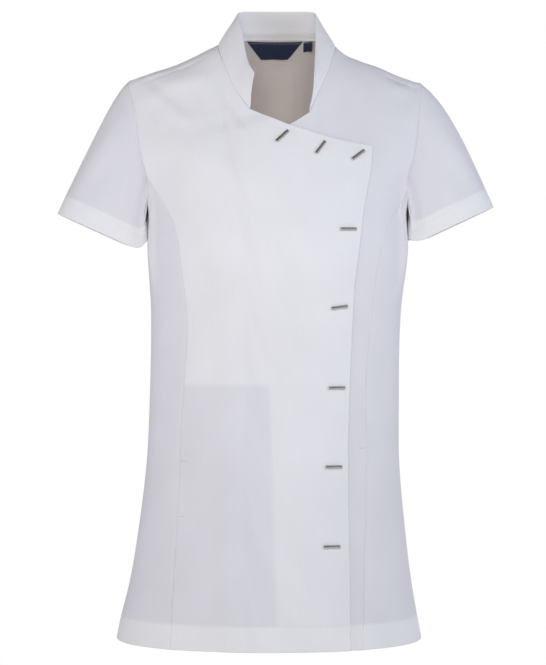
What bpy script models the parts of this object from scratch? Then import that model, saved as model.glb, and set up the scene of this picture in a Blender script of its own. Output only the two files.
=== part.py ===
# Beautician tunic: a hollow, filled-out garment of cut panels, with a stand collar,
# short sleeves, a crossover front and eight metal bars down its closing edge.
# The wearer's left is +X, the front faces -Y and +Z is up.  The origin lies between
# the shoulders, level with the side of the neck.
import math

import bmesh
import bpy
import numpy as np
from mathutils import Matrix, Vector

# Sizes and tables are in millimetres; MM turns them into Blender's metres.
MM = 0.001
CLOTH_WALL = 1.2            # one layer of tunic cloth
COLLAR_WALL = 1.5           # two layers of cloth round an interlining
LABEL_WALL = 1.0
SEAM_INSET = 0.22           # each side of a seam stands back this far from its line
OVERLAP_LIFT = 3.2          # outer face of the right front above that of the underlap
OVERLAP_EASE = 35.0         # width in which the right front settles back to the body
OVERLAP_MARGIN = 40.0       # beyond the underlap's edge the lift is still full for this far
OVERLAP_HEAD = 10.0         # the lift is full up to here above the underlap's top edge
OVERLAP_HEAD_EASE = 16.0    # and fades out over this height above that
COLLAR_BULGE = 1.6          # the collar's bow outwards, halfway up
COLLAR_GAP = 1.5            # collar from the panels it is sewn to
LABEL_GAP = 1.0             # a label from the curved back it hangs against
BAR_GAP = 0.45              # a bar's flat side from the curved front

HEM_HEIGHT = -728.0
UNDERARM_HEIGHT = -195.0
SECTION_POWER = 2.2         # of the superellipse that a level section follows
CREST_HALF_WIDTH = 205.0    # the shoulder crest is tabled out to here
FRONT_FULL_LEVEL = -235.0   # the front reaches its full depth here, at the bust
BACK_FULL_LEVEL = -170.0    # and the back here, at the shoulder blades
SHOULDER_SEAM_DROP = 4.0    # the shoulder seam lies this far below the crest, in front

# The oval at each sleeve's hem, its tilt from level in degrees, and how far the cap
# carries on outwards from the shoulder before it falls.
SLEEVES = dict(
    right=dict(x=219.4, z=-225.5, half_width=59.5, half_depth=52.0, tilt=24.3, cap=0.45),
    left=dict(x=218.5, z=-217.0, half_width=57.0, half_depth=52.0, tilt=25.0, cap=0.92),
)
# How the cloth leaves the armhole, as shares of the way out and up: at the top of the
# cap and under the arm, and the pull towards the front or the back at its sides.
CAP_LEAVE = (0.80, -0.60)
UNDERARM_LEAVE = (0.05, -1.0)
SIDE_LEAVE = 0.35
UNDERARM_CARRY = 0.9        # how far the cloth keeps each of those ways, as cap above
HEM_CARRY = 0.95
UNDERARM_CLEARANCE = 1.9    # a sleeve's underside starts this far outside its armhole
SLEEVE_ROWS = 9
COLLAR_ROWS = 3

BAR_LENGTH = 20.5
BAR_WIDTH = 4.6
BAR_HEIGHT = 2.4
BAR_EDGE = 0.35
BAR_SEGMENTS = 16           # round the full circle, of which a bar is half
WELD = 0.001                # points nearer than this are one

FRONT, BACK = -1, 1

# Level sections of the body.  Above the underarm they run on past the armhole, where
# the surface is cut away.
SECTIONS = dict(
    names=("z", "centre", "half_width", "front", "back"),
    rows=(
        (-728, -10, 190, 130, 128),
        (-715, -10, 187.5, 128, 126),
        (-658, -8, 175.6, 120, 118),
        (-583, -6.3, 165, 112, 108),
        (-508, -5, 157.5, 106, 99),
        (-433, -3.4, 155.5, 100, 87),
        (-377, -2.5, 155, 99, 81),
        (-321, -1.3, 156, 109, 85),
        (-246, 0.6, 162, 125, 92),
        (-195, 0, 162, 121, 94),
        (-180, 0, 166, 119, 96),
        (-153, 0, 176, 114, 97),
        (-134, 0, 184, 110, 98),
        (-110, 0, 192, 104, 98),
        (-83, 0, 200, 98, 100),
        (-40, 0, 205, 92, 104),
        (60, 0, 205, 88, 112),
    ),
)

# Height of the shoulder crest, carried on across the neck opening.
CREST = dict(
    names=("x", "z"),
    rows=(
        (-205, -45), (-180, -33.6), (-152, -23.6), (-125, -14.9), (-100, -3.4), (-85, 4.4),
        (-72, 11), (-58, 23), (-40, 35.5), (0, 44.5), (40, 35.5), (58, 22.5),
        (71, 9.6), (84, -1.8), (100, -9), (125, -17.6), (152, -29.3), (178, -37.6),
        (205, -46),
    ),
)

# Where the armhole cuts the body: how far out it lies at each height.
ARMHOLE = dict(
    names=("z", "right", "left"),
    rows=(
        (-195, 162, 162),
        (-190, 160.6, 160.8),
        (-180, 159, 159.6),
        (-153, 161.5, 162.5),
        (-134, 166.5, 168),
        (-107, 170.8, 172.5),
        (-83, 174.5, 175),
        (-59, 179.5, 177.5),
        (-36, 185.5, 180.5),
        (0, 190, 184),
    ),
)

# Front princess seams, from the armhole to the hem.
PRINCESS_RIGHT = dict(
    names=("z", "x"),
    rows=(
        (-728, -128.3), (-640, -124.8), (-548, -118.9), (-460, -116.6), (-408, -112.8),
        (-323, -109.3), (-298, -112), (-272, -115.7), (-237, -119.8), (-213.6, -126.9),
        (-191, -139.1), (-173, -151.5), (-156, -161),
    ),
)
PRINCESS_LEFT = dict(
    names=("z", "x"),
    rows=(
        (-728, 103.7), (-640, 104.8), (-563, 107), (-489, 108.8), (-387, 109.2),
        (-346, 113.5), (-298, 118.2), (-264, 122.8), (-250, 126.2), (-230.7, 131),
        (-213, 138.3), (-195, 149), (-178, 159.7),
    ),
)
# Back princess seams, from the neck to the hem, the same on both sides.
PRINCESS_BACK = dict(
    names=("z", "x"),
    rows=(
        (-728, 88), (-560, 76), (-380, 58), (-300, 56), (-200, 48), (-100, 36), (30, 31),
    ),
)

# Closing edge of the right front, and the hidden edge of the underlap.
OVERLAP_EDGE = dict(
    names=("z", "x"),
    rows=(
        (-728, 86), (-660, 85.8), (-595, 84.3), (-478, 84.5), (-412, 86.4), (-340, 89.5),
        (-290, 91.8), (-241, 97.7), (-206, 102), (-181, 106.4), (-154, 111.6), (-124, 114.6),
    ),
)
UNDERLAP_EDGE = dict(
    names=("z", "x"),
    rows=(
        (-728, -5.9), (-550, -7.2), (-406, -9.6), (-338, -15.5), (-270, -26.2),
        (-209, -47.6), (-159, -69.5), (-125, -84.5),
    ),
)

# The neck seam, from the wearer's right end of the collar, round the back, to the left
# end, with the top edge of the collar above each of its points.
NECK = dict(
    names=("x", "z", "side", "top_x", "top_y", "top_z"),
    rows=(
        (-33.3, -78, FRONT, -28.5, -66, -32.5),
        (-44, -63, FRONT, -35, -54, -20),
        (-54, -46, FRONT, -38.8, -40, -5),
        (-66, -18, FRONT, -42.8, -22, 20),
        (-73, 3, FRONT, -46.8, -5, 39),
        (-72.5, 10, BACK, -49.4, 8, 48.5),
        (-64, 15, BACK, -48, 18.5, 53.5),
        (-47, 21.6, BACK, -37, 25.5, 55.5),
        (-31, 23, BACK, -23.5, 28, 56),
        (0, 23.5, BACK, 0, 29, 56.3),
        (31, 23, BACK, 23.5, 28, 56),
        (47, 21.6, BACK, 37, 25.5, 55.4),
        (64, 14.5, BACK, 47.5, 18.5, 53),
        (72, 8, BACK, 49, 8, 47),
        (72.5, 2, FRONT, 48.5, -5, 34),
        (66, -19, FRONT, 48, -22, 14),
        (56, -44, FRONT, 47.5, -40, -8),
        (47, -64, FRONT, 47.2, -54, -22),
        (39.6, -82.2, FRONT, 46.5, -66, -33),
    ),
)
RIGHT_SHOULDER_ROW, RIGHT_BACK_ROW = 4, 8
LEFT_BACK_ROW, LEFT_SHOULDER_ROW = 10, 14

# Top edges of the two fronts past the ends of the collar, as points on the body.
OVERLAP_TOP = ((-33.3, -78), (12.2, -98.8), (38.7, -107), (74.8, -116.8), (114.6, -123.6))
UNDERLAP_TOP = ((39.6, -82.2), (12.2, -98.8), (-26, -110), (-84.5, -125))

# Soft folds of the cloth: troughs are negative, ridges positive.
FOLDS = dict(
    names=("side", "x", "z", "angle", "length", "width", "depth"),
    rows=(
        (FRONT, -66, -99, 122, 34, 11, -3.0),      # under the collar, right
        (FRONT, 66, -72, 62, 30, 10, -2.0),        # under the collar, left
        (FRONT, -128, -52, 132, 32, 11, -2.6),     # from the shoulder, right
        (FRONT, -110, -88, 128, 36, 13, 2.2),
        (FRONT, -60, -150, 146, 60, 24, 2.4),      # across the chest to the underlap
        (FRONT, 134, -88, 60, 34, 12, -2.2),       # from the shoulder, left
        (FRONT, -138, -455, 88, 75, 13, -4.5),     # hollows at the sides of the waist
        (FRONT, 132, -420, 94, 85, 13, -4.5),
        (FRONT, 92, -600, 88, 90, 14, -2.5),
        (FRONT, -60, -620, 92, 80, 18, 2.5),
        (BACK, -132, -430, 92, 80, 13, -4.5),
        (BACK, 134, -440, 88, 80, 13, -4.5),
        (BACK, -112, -60, 50, 34, 12, -2.6),
        (BACK, 112, -64, 130, 34, 12, -2.4),
        (BACK, -50, -390, 12, 36, 12, -2.8),       # drag lines over the small of the back
        (BACK, 44, -362, 168, 38, 12, -2.6),
        (BACK, 40, -610, 90, 90, 18, 2.8),
        (BACK, -58, -640, 88, 80, 18, -2.4),
    ),
)
# Folds of a sleeve, by the angle round it from its outer edge towards the front, and
# by the share of its length from the armhole.
SLEEVE_FOLDS = dict(
    names=("round", "along", "width", "length", "depth"),
    rows=(
        (62, 0.55, 16, 0.34, -3.4),
        (100, 0.62, 14, 0.30, 2.4),
        (138, 0.42, 13, 0.26, -3.6),
        (-58, 0.50, 16, 0.34, -3.2),
        (-98, 0.60, 15, 0.30, 2.4),
        (-136, 0.45, 13, 0.26, -3.4),
    ),
)

# Bars of the closure: centre on the front and turn from level, rising to the left.
BARS = dict(
    names=("x", "z", "turn"),
    rows=(
        (5.9, -114.2, 47), (51.4, -128, 55), (96.6, -136, 39), (83.6, -225.8, 3),
        (73.6, -318.2, 4), (70.8, -415.9, 1), (66.8, -510.8, 1), (64.4, -605.7, 1),
    ),
)
NECK_LABEL = dict(left=-38.6, right=33.0, foot_left=-20.7, foot_right=14.1, top=21.8, foot=2.0)
SIZE_LABEL = dict(left=34.6, right=45.5, foot_left=34.6, foot_right=45.5, top=20.8, foot=10.6)

# How finely each seam is divided.  Pieces that meet share a seam's points.
SHOULDER_PARTS = 4
UPPER_ARMHOLE_PARTS = 6
LOWER_ARMHOLE_PARTS = 5
BACK_ARMHOLE_PARTS = UPPER_ARMHOLE_PARTS + LOWER_ARMHOLE_PARTS
SIDE_SEAM_PARTS = 16
NECK_FRONT_PARTS = 4
NECK_SIDE_PARTS = 4
NECK_BACK_PARTS = 4
TOP_EDGE_PARTS = 2          # for each stretch of a front's free top edge
SIDE_PANEL_COLUMNS = 4
LABEL_COLUMNS = 6
LABEL_ROWS = 3
FIRST_STEP = 0.55           # a graded seam's first step, as a share of its mean step
PRINCESS_HEAD = 66.0        # height of the curved head of a front princess seam
SIDE_PANEL_TIP = 0.12       # cut off a side panel's tip, as a share of its first step


def column(table, name):
    return np.array([row[table["names"].index(name)] for row in table["rows"]], float)


def smooth(table, name, at):
    """A column of a table at any value of its first column, joined by smooth curves."""
    return smooth_curve(column(table, table["names"][0]), column(table, name), at)


def smooth_curve(knots, values, at):
    slopes = np.gradient(values, knots)
    at = np.clip(np.asarray(at, float), knots[0], knots[-1])
    k = np.clip(np.searchsorted(knots, at) - 1, 0, len(knots) - 2)
    step = knots[k + 1] - knots[k]
    t = (at - knots[k]) / step
    return (
        (2 * t**3 - 3 * t**2 + 1) * values[k]
        + (t**3 - 2 * t**2 + t) * step * slopes[k]
        + (3 * t**2 - 2 * t**3) * values[k + 1]
        + (t**3 - t**2) * step * slopes[k + 1]
    )


# ---- the body surface --------------------------------------------------------------
# A point of the body is named by a pair (turn, drop).  The turn runs from 0 at the
# wearer's left side to pi at the right.  The drop is the square root of the depth below
# the shoulder crest, negative in front and positive behind, which spaces even steps
# closely where the cloth rounds over the shoulder.


def signed_power(value, power):
    return np.sign(value) * np.abs(value) ** power


def crest_height(turn):
    across = signed_power(np.cos(turn), 2 / SECTION_POWER)
    return smooth(CREST, "z", across * CREST_HALF_WIDTH)


def fold_relief(side, x, z):
    relief = np.zeros_like(x)
    for fold_side, fold_x, fold_z, angle, length, width, depth in FOLDS["rows"]:
        along_x, along_z = math.cos(math.radians(angle)), math.sin(math.radians(angle))
        along = (x - fold_x) * along_x + (z - fold_z) * along_z
        across = (z - fold_z) * along_x - (x - fold_x) * along_z
        shape = np.exp(-((along / length) ** 4) - (across / width) ** 2)
        relief += np.where(side == fold_side, depth * shape, 0.0)
    return relief


def body_point(turn, drop):
    crest = crest_height(turn)
    z = crest - drop**2
    half_width = smooth(SECTIONS, "half_width", z)
    x = smooth(SECTIONS, "centre", z) + half_width * signed_power(np.cos(turn), 2 / SECTION_POWER)
    in_front = drop < 0
    reach = np.where(in_front, smooth(SECTIONS, "front", z), smooth(SECTIONS, "back", z))
    full_height = crest - np.where(in_front, FRONT_FULL_LEVEL, BACK_FULL_LEVEL)
    fall = np.clip(drop**2 / full_height, 0, 1)
    rounding = np.where(fall < 1, drop * np.sqrt((2 - fall) / full_height), np.sign(drop))
    bulge = np.abs(np.sin(turn)) ** (2 / SECTION_POWER)
    relief = fold_relief(np.sign(drop), x, z) * bulge
    return np.stack([x, (reach + relief) * bulge * rounding, z], axis=-1)


def body_normal(turn, drop):
    turn_step, drop_step = 0.004, 0.04
    turn_after, turn_before = np.minimum(turn + turn_step, math.pi), np.maximum(turn - turn_step, 0)
    along_turn = body_point(turn_after, drop) - body_point(turn_before, drop)
    along_drop = body_point(turn, drop + drop_step) - body_point(turn, drop - drop_step)
    normal = np.cross(along_drop, along_turn)
    return normal / np.linalg.norm(normal, axis=-1, keepdims=True)


def on_body(x, z, side):
    """The (turn, drop) of the point of the body at x and z, on its front or its back."""
    x, z = np.asarray(x, float), np.asarray(z, float)
    across = (x - smooth(SECTIONS, "centre", z)) / smooth(SECTIONS, "half_width", z)
    across = np.clip(across, -1, 1)
    turn = np.arccos(signed_power(across, SECTION_POWER / 2))
    drop = side * np.sqrt(np.maximum(crest_height(turn) - z, 0))
    return np.stack([turn, drop], axis=-1)


# ---- seams, as rows of (turn, drop) ------------------------------------------------


def arm_sign(hand):
    return -1 if hand == "right" else 1


def armhole(hand, side, start, end, parts):
    """Armhole points between two heights, closer together towards the underarm."""
    low = UNDERARM_HEIGHT
    top_angle = math.acos(min(1.0, (start - low) / (crest_tip(hand) - low)))
    foot_angle = math.acos(max(0.0, (end - low) / (crest_tip(hand) - low)))
    z = low + (crest_tip(hand) - low) * np.cos(np.linspace(top_angle, foot_angle, parts + 1))
    return on_body(arm_sign(hand) * smooth(ARMHOLE, hand, z), z, side)


def crest_tip(hand):
    """Height of the shoulder crest where the armhole crosses it."""
    z = -40.0
    for _ in range(6):
        reach = float(smooth(ARMHOLE, hand, z)) * arm_sign(hand)
        across = reach / float(smooth(SECTIONS, "half_width", z))
        z = float(smooth(CREST, "z", across * CREST_HALF_WIDTH))
    return z


def princess_top(hand):
    table = PRINCESS_RIGHT if hand == "right" else PRINCESS_LEFT
    return table["rows"][-1][0]


def shoulder_tip(hand):
    return crest_tip(hand) - SHOULDER_SEAM_DROP


def front_armhole(hand):
    """The front armhole in two runs: shoulder to princess seam, then to the underarm."""
    upper = armhole(hand, FRONT, shoulder_tip(hand), princess_top(hand), UPPER_ARMHOLE_PARTS)
    lower = armhole(hand, FRONT, princess_top(hand), UNDERARM_HEIGHT, LOWER_ARMHOLE_PARTS)
    return upper, lower


def back_armhole(hand):
    """From the front end of the shoulder seam, over the crest, down to the underarm."""
    lower = armhole(hand, BACK, crest_tip(hand), UNDERARM_HEIGHT, BACK_ARMHOLE_PARTS - 1)
    return np.concatenate([front_armhole(hand)[0][:1], lower])


def graded_heights(top, foot, parts):
    """Heights from the top to the foot whose steps grow downwards."""
    share = np.linspace(0, 1, parts + 1)
    return top + (foot - top) * (FIRST_STEP * share + (1 - FIRST_STEP) * share**2)


def side_seam(hand, side):
    z = graded_heights(UNDERARM_HEIGHT, HEM_HEIGHT, SIDE_SEAM_PARTS)
    turn = np.full_like(z, math.pi if hand == "right" else 0.0)
    return np.stack([turn, side * np.sqrt(crest_height(turn) - z)], axis=-1)


def front_princess(hand):
    table = PRINCESS_RIGHT if hand == "right" else PRINCESS_LEFT
    top = princess_top(hand)
    z = np.concatenate([
        np.linspace(top, top - PRINCESS_HEAD, LOWER_ARMHOLE_PARTS + 1)[:-1],
        graded_heights(top - PRINCESS_HEAD, HEM_HEIGHT, SIDE_SEAM_PARTS),
    ])
    return on_body(smooth(table, "x", z), z, FRONT)


def neck_run(first, last, parts):
    """Points of the neck seam between two rows of its table, and the collar top there."""
    seam = on_body(column(NECK, "x"), column(NECK, "z"), column(NECK, "side"))
    knots = np.arange(len(NECK["rows"]), dtype=float)
    at = np.linspace(first, last, parts + 1)
    points = np.stack([smooth_curve(knots, seam[:, k], at) for k in (0, 1)], axis=-1)
    names = ("top_x", "top_y", "top_z")
    tops = np.stack([smooth_curve(knots, column(NECK, name), at) for name in names], axis=-1)
    return points, tops


def back_princess(hand):
    """From the neck to the hem, with its points at the heights of the outer seam's."""
    start = neck_run(RIGHT_BACK_ROW if hand == "right" else LEFT_BACK_ROW, 9, 1)[0][0]
    top = float(crest_height(start[0])) - start[1] ** 2
    z = top + (HEM_HEIGHT - top) * share_down(joined(back_armhole(hand), side_seam(hand, BACK)))
    seam = on_body(arm_sign(hand) * smooth(PRINCESS_BACK, "x", z), z, BACK)
    seam[0] = start
    return seam


def shoulder_seam(hand):
    """From the armhole to the neck, just in front of the shoulder crest."""
    tip = front_armhole(hand)[0][0]
    neck = neck_run(RIGHT_SHOULDER_ROW if hand == "right" else LEFT_SHOULDER_ROW, 9, 1)[0][0]
    share = np.linspace(0, 1, SHOULDER_PARTS + 1)[:, None]
    return tip + (neck - tip) * share


def edge_run(points):
    """Points of a free edge through given points (x, z) on the front."""
    xz = np.array(points, float)
    knots = np.arange(len(xz), dtype=float)
    at = np.linspace(0, len(xz) - 1, (len(xz) - 1) * TOP_EDGE_PARTS + 1)
    return on_body(smooth_curve(knots, xz[:, 0], at), smooth_curve(knots, xz[:, 1], at), FRONT)


def joined(*runs):
    return np.concatenate([runs[0]] + [run[1:] for run in runs[1:]])


# ---- panels ------------------------------------------------------------------------


def with_depth(seam):
    """(turn, drop) as (turn, depth below the crest), negative in front."""
    return np.stack([seam[..., 0], seam[..., 1] * np.abs(seam[..., 1])], axis=-1)


def share_down(seam):
    depth = with_depth(seam)[:, 1]
    return (depth - depth[0]) / (depth[-1] - depth[0])


def filled(top, left, right):
    """A grid of (turn, drop) from the seam along a panel's top down to the hem.

    Its columns run straight from top to hem, and bend to the side seams near them.
    """
    across = (top[:, 0] - top[0, 0]) / (top[-1, 0] - top[0, 0])
    hem_turn = left[-1, 0] + (right[-1, 0] - left[-1, 0]) * across
    hem_depth = np.sign(left[-1, 1]) * (crest_height(hem_turn) - HEM_HEIGHT)
    hem = np.stack([hem_turn, hem_depth], axis=-1)
    across, down = across[None, :, None], share_down(left)[:, None, None]
    straight = (1 - down) * with_depth(top)[None] + down * hem[None]
    to_left = (1 - across) ** 3 * (with_depth(left)[:, None] - straight[:, :1])
    to_right = across**3 * (with_depth(right)[:, None] - straight[:, -1:])
    grid = straight + to_left + to_right
    grid[..., 1] = signed_power(grid[..., 1], 0.5)
    return grid


def inset(skin, sides):
    """Draw the named sides of a grid back from their seams."""
    moved = skin.copy()
    every = slice(None)
    pairs = dict(top=(0, 1), left=((every, 0), (every, 1)), right=((every, -1), (every, -2)))
    for side in sides:
        edge, inner = pairs[side]
        way = skin[inner] - skin[edge]
        moved[edge] += SEAM_INSET * way / np.linalg.norm(way, axis=-1, keepdims=True)
    return moved


def overlap_lift(x, z):
    """How far the right front stands off the body to clear the underlap beneath it."""
    edge = smooth(UNDERLAP_EDGE, "x", z)
    share = np.clip((x - edge + OVERLAP_MARGIN + OVERLAP_EASE) / OVERLAP_EASE, 0, 1)
    eased = share * share * (3 - 2 * share)
    top_x, top_z = np.array(UNDERLAP_TOP[::-1], float).T
    top = np.interp(x, top_x, top_z)
    below = np.clip((top + OVERLAP_HEAD - z) / OVERLAP_HEAD_EASE + 1, 0, 1)
    return OVERLAP_LIFT * eased * below * below * (3 - 2 * below)


def panel_skins(grid, sides, lift=None):
    turn, drop = grid[..., 0], grid[..., 1]
    normal = body_normal(turn, drop)
    outer = body_point(turn, drop)
    if lift is not None:
        outer = outer + normal * lift(outer[..., 0], outer[..., 2])[..., None]
    outer = inset(outer, sides)
    return outer, outer - normal * CLOTH_WALL


def front_right_grid():
    upper, _ = front_armhole("right")
    left = joined(upper, front_princess("right"))
    collar_seam = neck_run(RIGHT_SHOULDER_ROW, 0, NECK_FRONT_PARTS)[0]
    top = joined(shoulder_seam("right"), collar_seam, edge_run(OVERLAP_TOP))
    right = matched_edge(OVERLAP_EDGE, left)
    return filled(top, left, right)


def front_left_grid():
    upper, _ = front_armhole("left")
    right = joined(upper, front_princess("left"))
    collar_seam = neck_run(len(NECK["rows"]) - 1, LEFT_SHOULDER_ROW, NECK_FRONT_PARTS)[0]
    top = joined(edge_run(UNDERLAP_TOP[::-1]), collar_seam, shoulder_seam("left")[::-1])
    left = matched_edge(UNDERLAP_EDGE, right)
    return filled(top[::-1], right, left)[:, ::-1]


def matched_edge(table, seam):
    """A front's free edge, with its points spread down it as the seam's points are."""
    top = table["rows"][-1][0]
    z = top + (HEM_HEIGHT - top) * share_down(seam)
    return on_body(smooth(table, "x", z), z, FRONT)


def ruled(one, other, columns):
    share = np.linspace(0, 1, columns + 1)[None, :]
    turn = one[:, :1] * (1 - share) + other[:, :1] * share
    one_z, other_z = (crest_height(seam[:, 0]) - seam[:, 1] ** 2 for seam in (one, other))
    z = one_z[:, None] * (1 - share) + other_z[:, None] * share
    return np.stack([turn, FRONT * np.sqrt(crest_height(turn) - z)], axis=-1)


def front_side_grid(hand):
    _, lower = front_armhole(hand)
    outside = joined(lower, side_seam(hand, FRONT))
    seam = front_princess(hand)
    outside[0] = seam[0] + (outside[1] - seam[0]) * SIDE_PANEL_TIP
    one, other = (outside, seam) if hand == "right" else (seam, outside)
    return ruled(one, other, SIDE_PANEL_COLUMNS)


def back_side_grid(hand):
    outside = joined(back_armhole(hand), side_seam(hand, BACK))
    shoulder_row, back_row = (RIGHT_SHOULDER_ROW, RIGHT_BACK_ROW) if hand == "right" else (
        LEFT_SHOULDER_ROW, LEFT_BACK_ROW)
    top = joined(shoulder_seam(hand), neck_run(shoulder_row, back_row, NECK_SIDE_PARTS)[0])
    grid = filled(top, outside, back_princess(hand))
    return grid if hand == "right" else grid[:, ::-1]


def back_centre_grid():
    left, right = back_princess("right"), back_princess("left")
    top = neck_run(RIGHT_BACK_ROW, LEFT_BACK_ROW, NECK_BACK_PARTS)[0]
    return filled(top, left, right)


def collar_skins():
    runs = [
        neck_run(0, RIGHT_SHOULDER_ROW, NECK_FRONT_PARTS),
        neck_run(RIGHT_SHOULDER_ROW, RIGHT_BACK_ROW, NECK_SIDE_PARTS),
        neck_run(RIGHT_BACK_ROW, LEFT_BACK_ROW, NECK_BACK_PARTS),
        neck_run(LEFT_BACK_ROW, LEFT_SHOULDER_ROW, NECK_SIDE_PARTS),
        neck_run(LEFT_SHOULDER_ROW, len(NECK["rows"]) - 1, NECK_FRONT_PARTS),
    ]
    seam = joined(*[run[0] for run in runs])
    top = joined(*[run[1] for run in runs])
    base = body_point(seam[:, 0], seam[:, 1])
    base = base + (top - base) * (COLLAR_GAP / np.linalg.norm(top - base, axis=-1, keepdims=True))
    share = np.linspace(0, 1, COLLAR_ROWS + 1)[:, None, None]
    outer = base[None] * (1 - share) + top[None] * share
    normal = np.cross(top - base, np.gradient(outer, axis=1))
    normal /= np.linalg.norm(normal, axis=-1, keepdims=True)
    outer = outer + normal * COLLAR_BULGE * np.sin(math.pi * share)
    return outer[::-1], (outer - normal * COLLAR_WALL)[::-1]


# ---- sleeves -----------------------------------------------------------------------


def armhole_ring(hand):
    """The armhole from the shoulder, down the front, under the arm and up the back."""
    upper, lower = front_armhole(hand)
    front = joined(upper, lower)
    back = back_armhole(hand)[::-1]
    ring = np.concatenate([front, back[1:-1]])
    return body_point(ring[:, 0], ring[:, 1])


def sleeve_skins(hand):
    sign = arm_sign(hand)
    ring = armhole_ring(hand)
    closed = np.concatenate([ring, ring[:1]])
    lengths = np.linalg.norm(np.diff(closed, axis=0), axis=-1)
    distance = np.concatenate([[0], np.cumsum(lengths)])
    under = UPPER_ARMHOLE_PARTS + LOWER_ARMHOLE_PARTS
    front_share = distance[: under + 1] / distance[under]
    back_share = (distance[under:-1] - distance[under]) / (distance[-1] - distance[under])
    round_angle = math.pi * np.concatenate([front_share, 1 + back_share[1:]])

    sleeve = SLEEVES[hand]
    tilt = math.radians(sleeve["tilt"])
    across = np.array([sign * math.cos(tilt), 0, math.sin(tilt)])
    axis = np.array([sign * math.sin(tilt), 0, -math.cos(tilt)])
    centre = np.array([sign * sleeve["x"], 0, sleeve["z"]])
    cos, sin = np.cos(round_angle)[:, None], np.sin(round_angle)[:, None]
    depth_way = np.array([0, -1.0, 0])
    hem = centre + sleeve["half_width"] * cos * across + sleeve["half_depth"] * sin * depth_way

    # Out from the shoulder at the top, straight down under the arm.
    out = (1 + cos) / 2
    leave = out * np.array([sign * CAP_LEAVE[0], 0, CAP_LEAVE[1]])
    leave += (1 - out) * np.array([sign * UNDERARM_LEAVE[0], 0, UNDERARM_LEAVE[1]])
    leave[:, 1] -= SIDE_LEAVE * np.sin(round_angle)
    arrive = axis * out + (1 - out) * np.array([0, 0, -1.0])
    span = np.linalg.norm(hem - ring, axis=-1, keepdims=True)
    start = ring + leave * 2 * SEAM_INSET + (1 - out) * np.array([sign * UNDERARM_CLEARANCE, 0, 0])
    leave = leave * (sleeve["cap"] * out + UNDERARM_CARRY * (1 - out))

    share = np.linspace(0, 1, SLEEVE_ROWS + 1)[:, None, None]
    outer = (
        (2 * share**3 - 3 * share**2 + 1) * start
        + (share**3 - 2 * share**2 + share) * leave * span
        + (3 * share**2 - 2 * share**3) * hem
        + (share**3 - share**2) * arrive * span * HEM_CARRY
    )
    around = np.roll(outer, -1, axis=1) - np.roll(outer, 1, axis=1)
    down = np.gradient(outer, axis=0)
    normal = np.cross(around, down) * sign
    normal /= np.linalg.norm(normal, axis=-1, keepdims=True)
    relief = sleeve_relief(np.degrees(round_angle)[None, :], share[:, :, 0])
    outer = outer + normal * relief[..., None]
    return outer, outer - normal * CLOTH_WALL


def sleeve_relief(angle, share):
    relief = np.zeros(np.broadcast(angle, share).shape)
    for fold_angle, along, width, length, depth in SLEEVE_FOLDS["rows"]:
        away = (angle - fold_angle + 180) % 360 - 180
        relief += depth * np.exp(-((away / width) ** 2) - ((share - along) / length) ** 2)
    return relief * np.sin(math.pi * np.clip(share, 0, 1)) ** 0.5


# ---- meshes ------------------------------------------------------------------------


def make_material(name, colour, roughness, metallic=0.0):
    material = bpy.data.materials.new(name)
    material.use_nodes = True
    shader = material.node_tree.nodes["Principled BSDF"]
    shader.inputs["Base Color"].default_value = (*colour, 1.0)
    shader.inputs["Roughness"].default_value = roughness
    shader.inputs["Metallic"].default_value = metallic
    return material


def add_object(name, mesh, material, collection):
    mesh.materials.append(material)
    mesh.shade_smooth()
    mesh.set_sharp_from_angle(angle=math.radians(40))
    obj = bpy.data.objects.new(name, mesh)
    collection.objects.link(obj)
    return obj


def wall_mesh(name, outer, inner, closed=False):
    """A cloth wall between two matching grids, open at its edges or closed to a tube."""
    rows, columns = outer.shape[:2]
    points = np.concatenate([outer.reshape(-1, 3), inner.reshape(-1, 3)]) * MM
    last = columns if closed else columns - 1

    def vertex(layer, row, column):
        return layer * rows * columns + row * columns + column % columns

    faces = []
    for row in range(rows - 1):
        for column in range(last):
            ring = [(row, column), (row + 1, column), (row + 1, column + 1), (row, column + 1)]
            faces.append([vertex(0, *corner) for corner in ring])
            faces.append([vertex(1, *corner) for corner in ring[::-1]])
    for column in range(last):
        for row in (0, rows - 1):
            faces.append([vertex(0, row, column), vertex(0, row, column + 1),
                          vertex(1, row, column + 1), vertex(1, row, column)])
    for row in range(rows - 1):
        for column in () if closed else (0, columns - 1):
            faces.append([vertex(0, row, column), vertex(0, row + 1, column),
                          vertex(1, row + 1, column), vertex(1, row, column)])
    mesh = bpy.data.meshes.new(name)
    mesh.from_pydata(points.tolist(), [], faces)
    shaped = bmesh.new()
    shaped.from_mesh(mesh)
    bmesh.ops.recalc_face_normals(shaped, faces=shaped.faces)
    bmesh.ops.triangulate(shaped, faces=shaped.faces)
    shaped.to_mesh(mesh)
    shaped.free()
    return mesh


def label_skins(label):
    """A label laid on the inside of the back."""
    share = np.linspace(0, 1, LABEL_COLUMNS + 1)[None, :]
    down = np.linspace(0, 1, LABEL_ROWS + 1)[:, None]
    start = label["left"] + (label["foot_left"] - label["left"]) * down
    end = label["right"] + (label["foot_right"] - label["right"]) * down
    x = start + (end - start) * share
    z = label["top"] + (label["foot"] - label["top"]) * down + 0 * share
    grid = on_body(x, z, BACK)
    skin = body_point(grid[..., 0], grid[..., 1])
    normal = body_normal(grid[..., 0], grid[..., 1])
    nearer = skin - normal * (CLOTH_WALL + LABEL_GAP)
    return nearer, nearer - normal * LABEL_WALL


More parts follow.
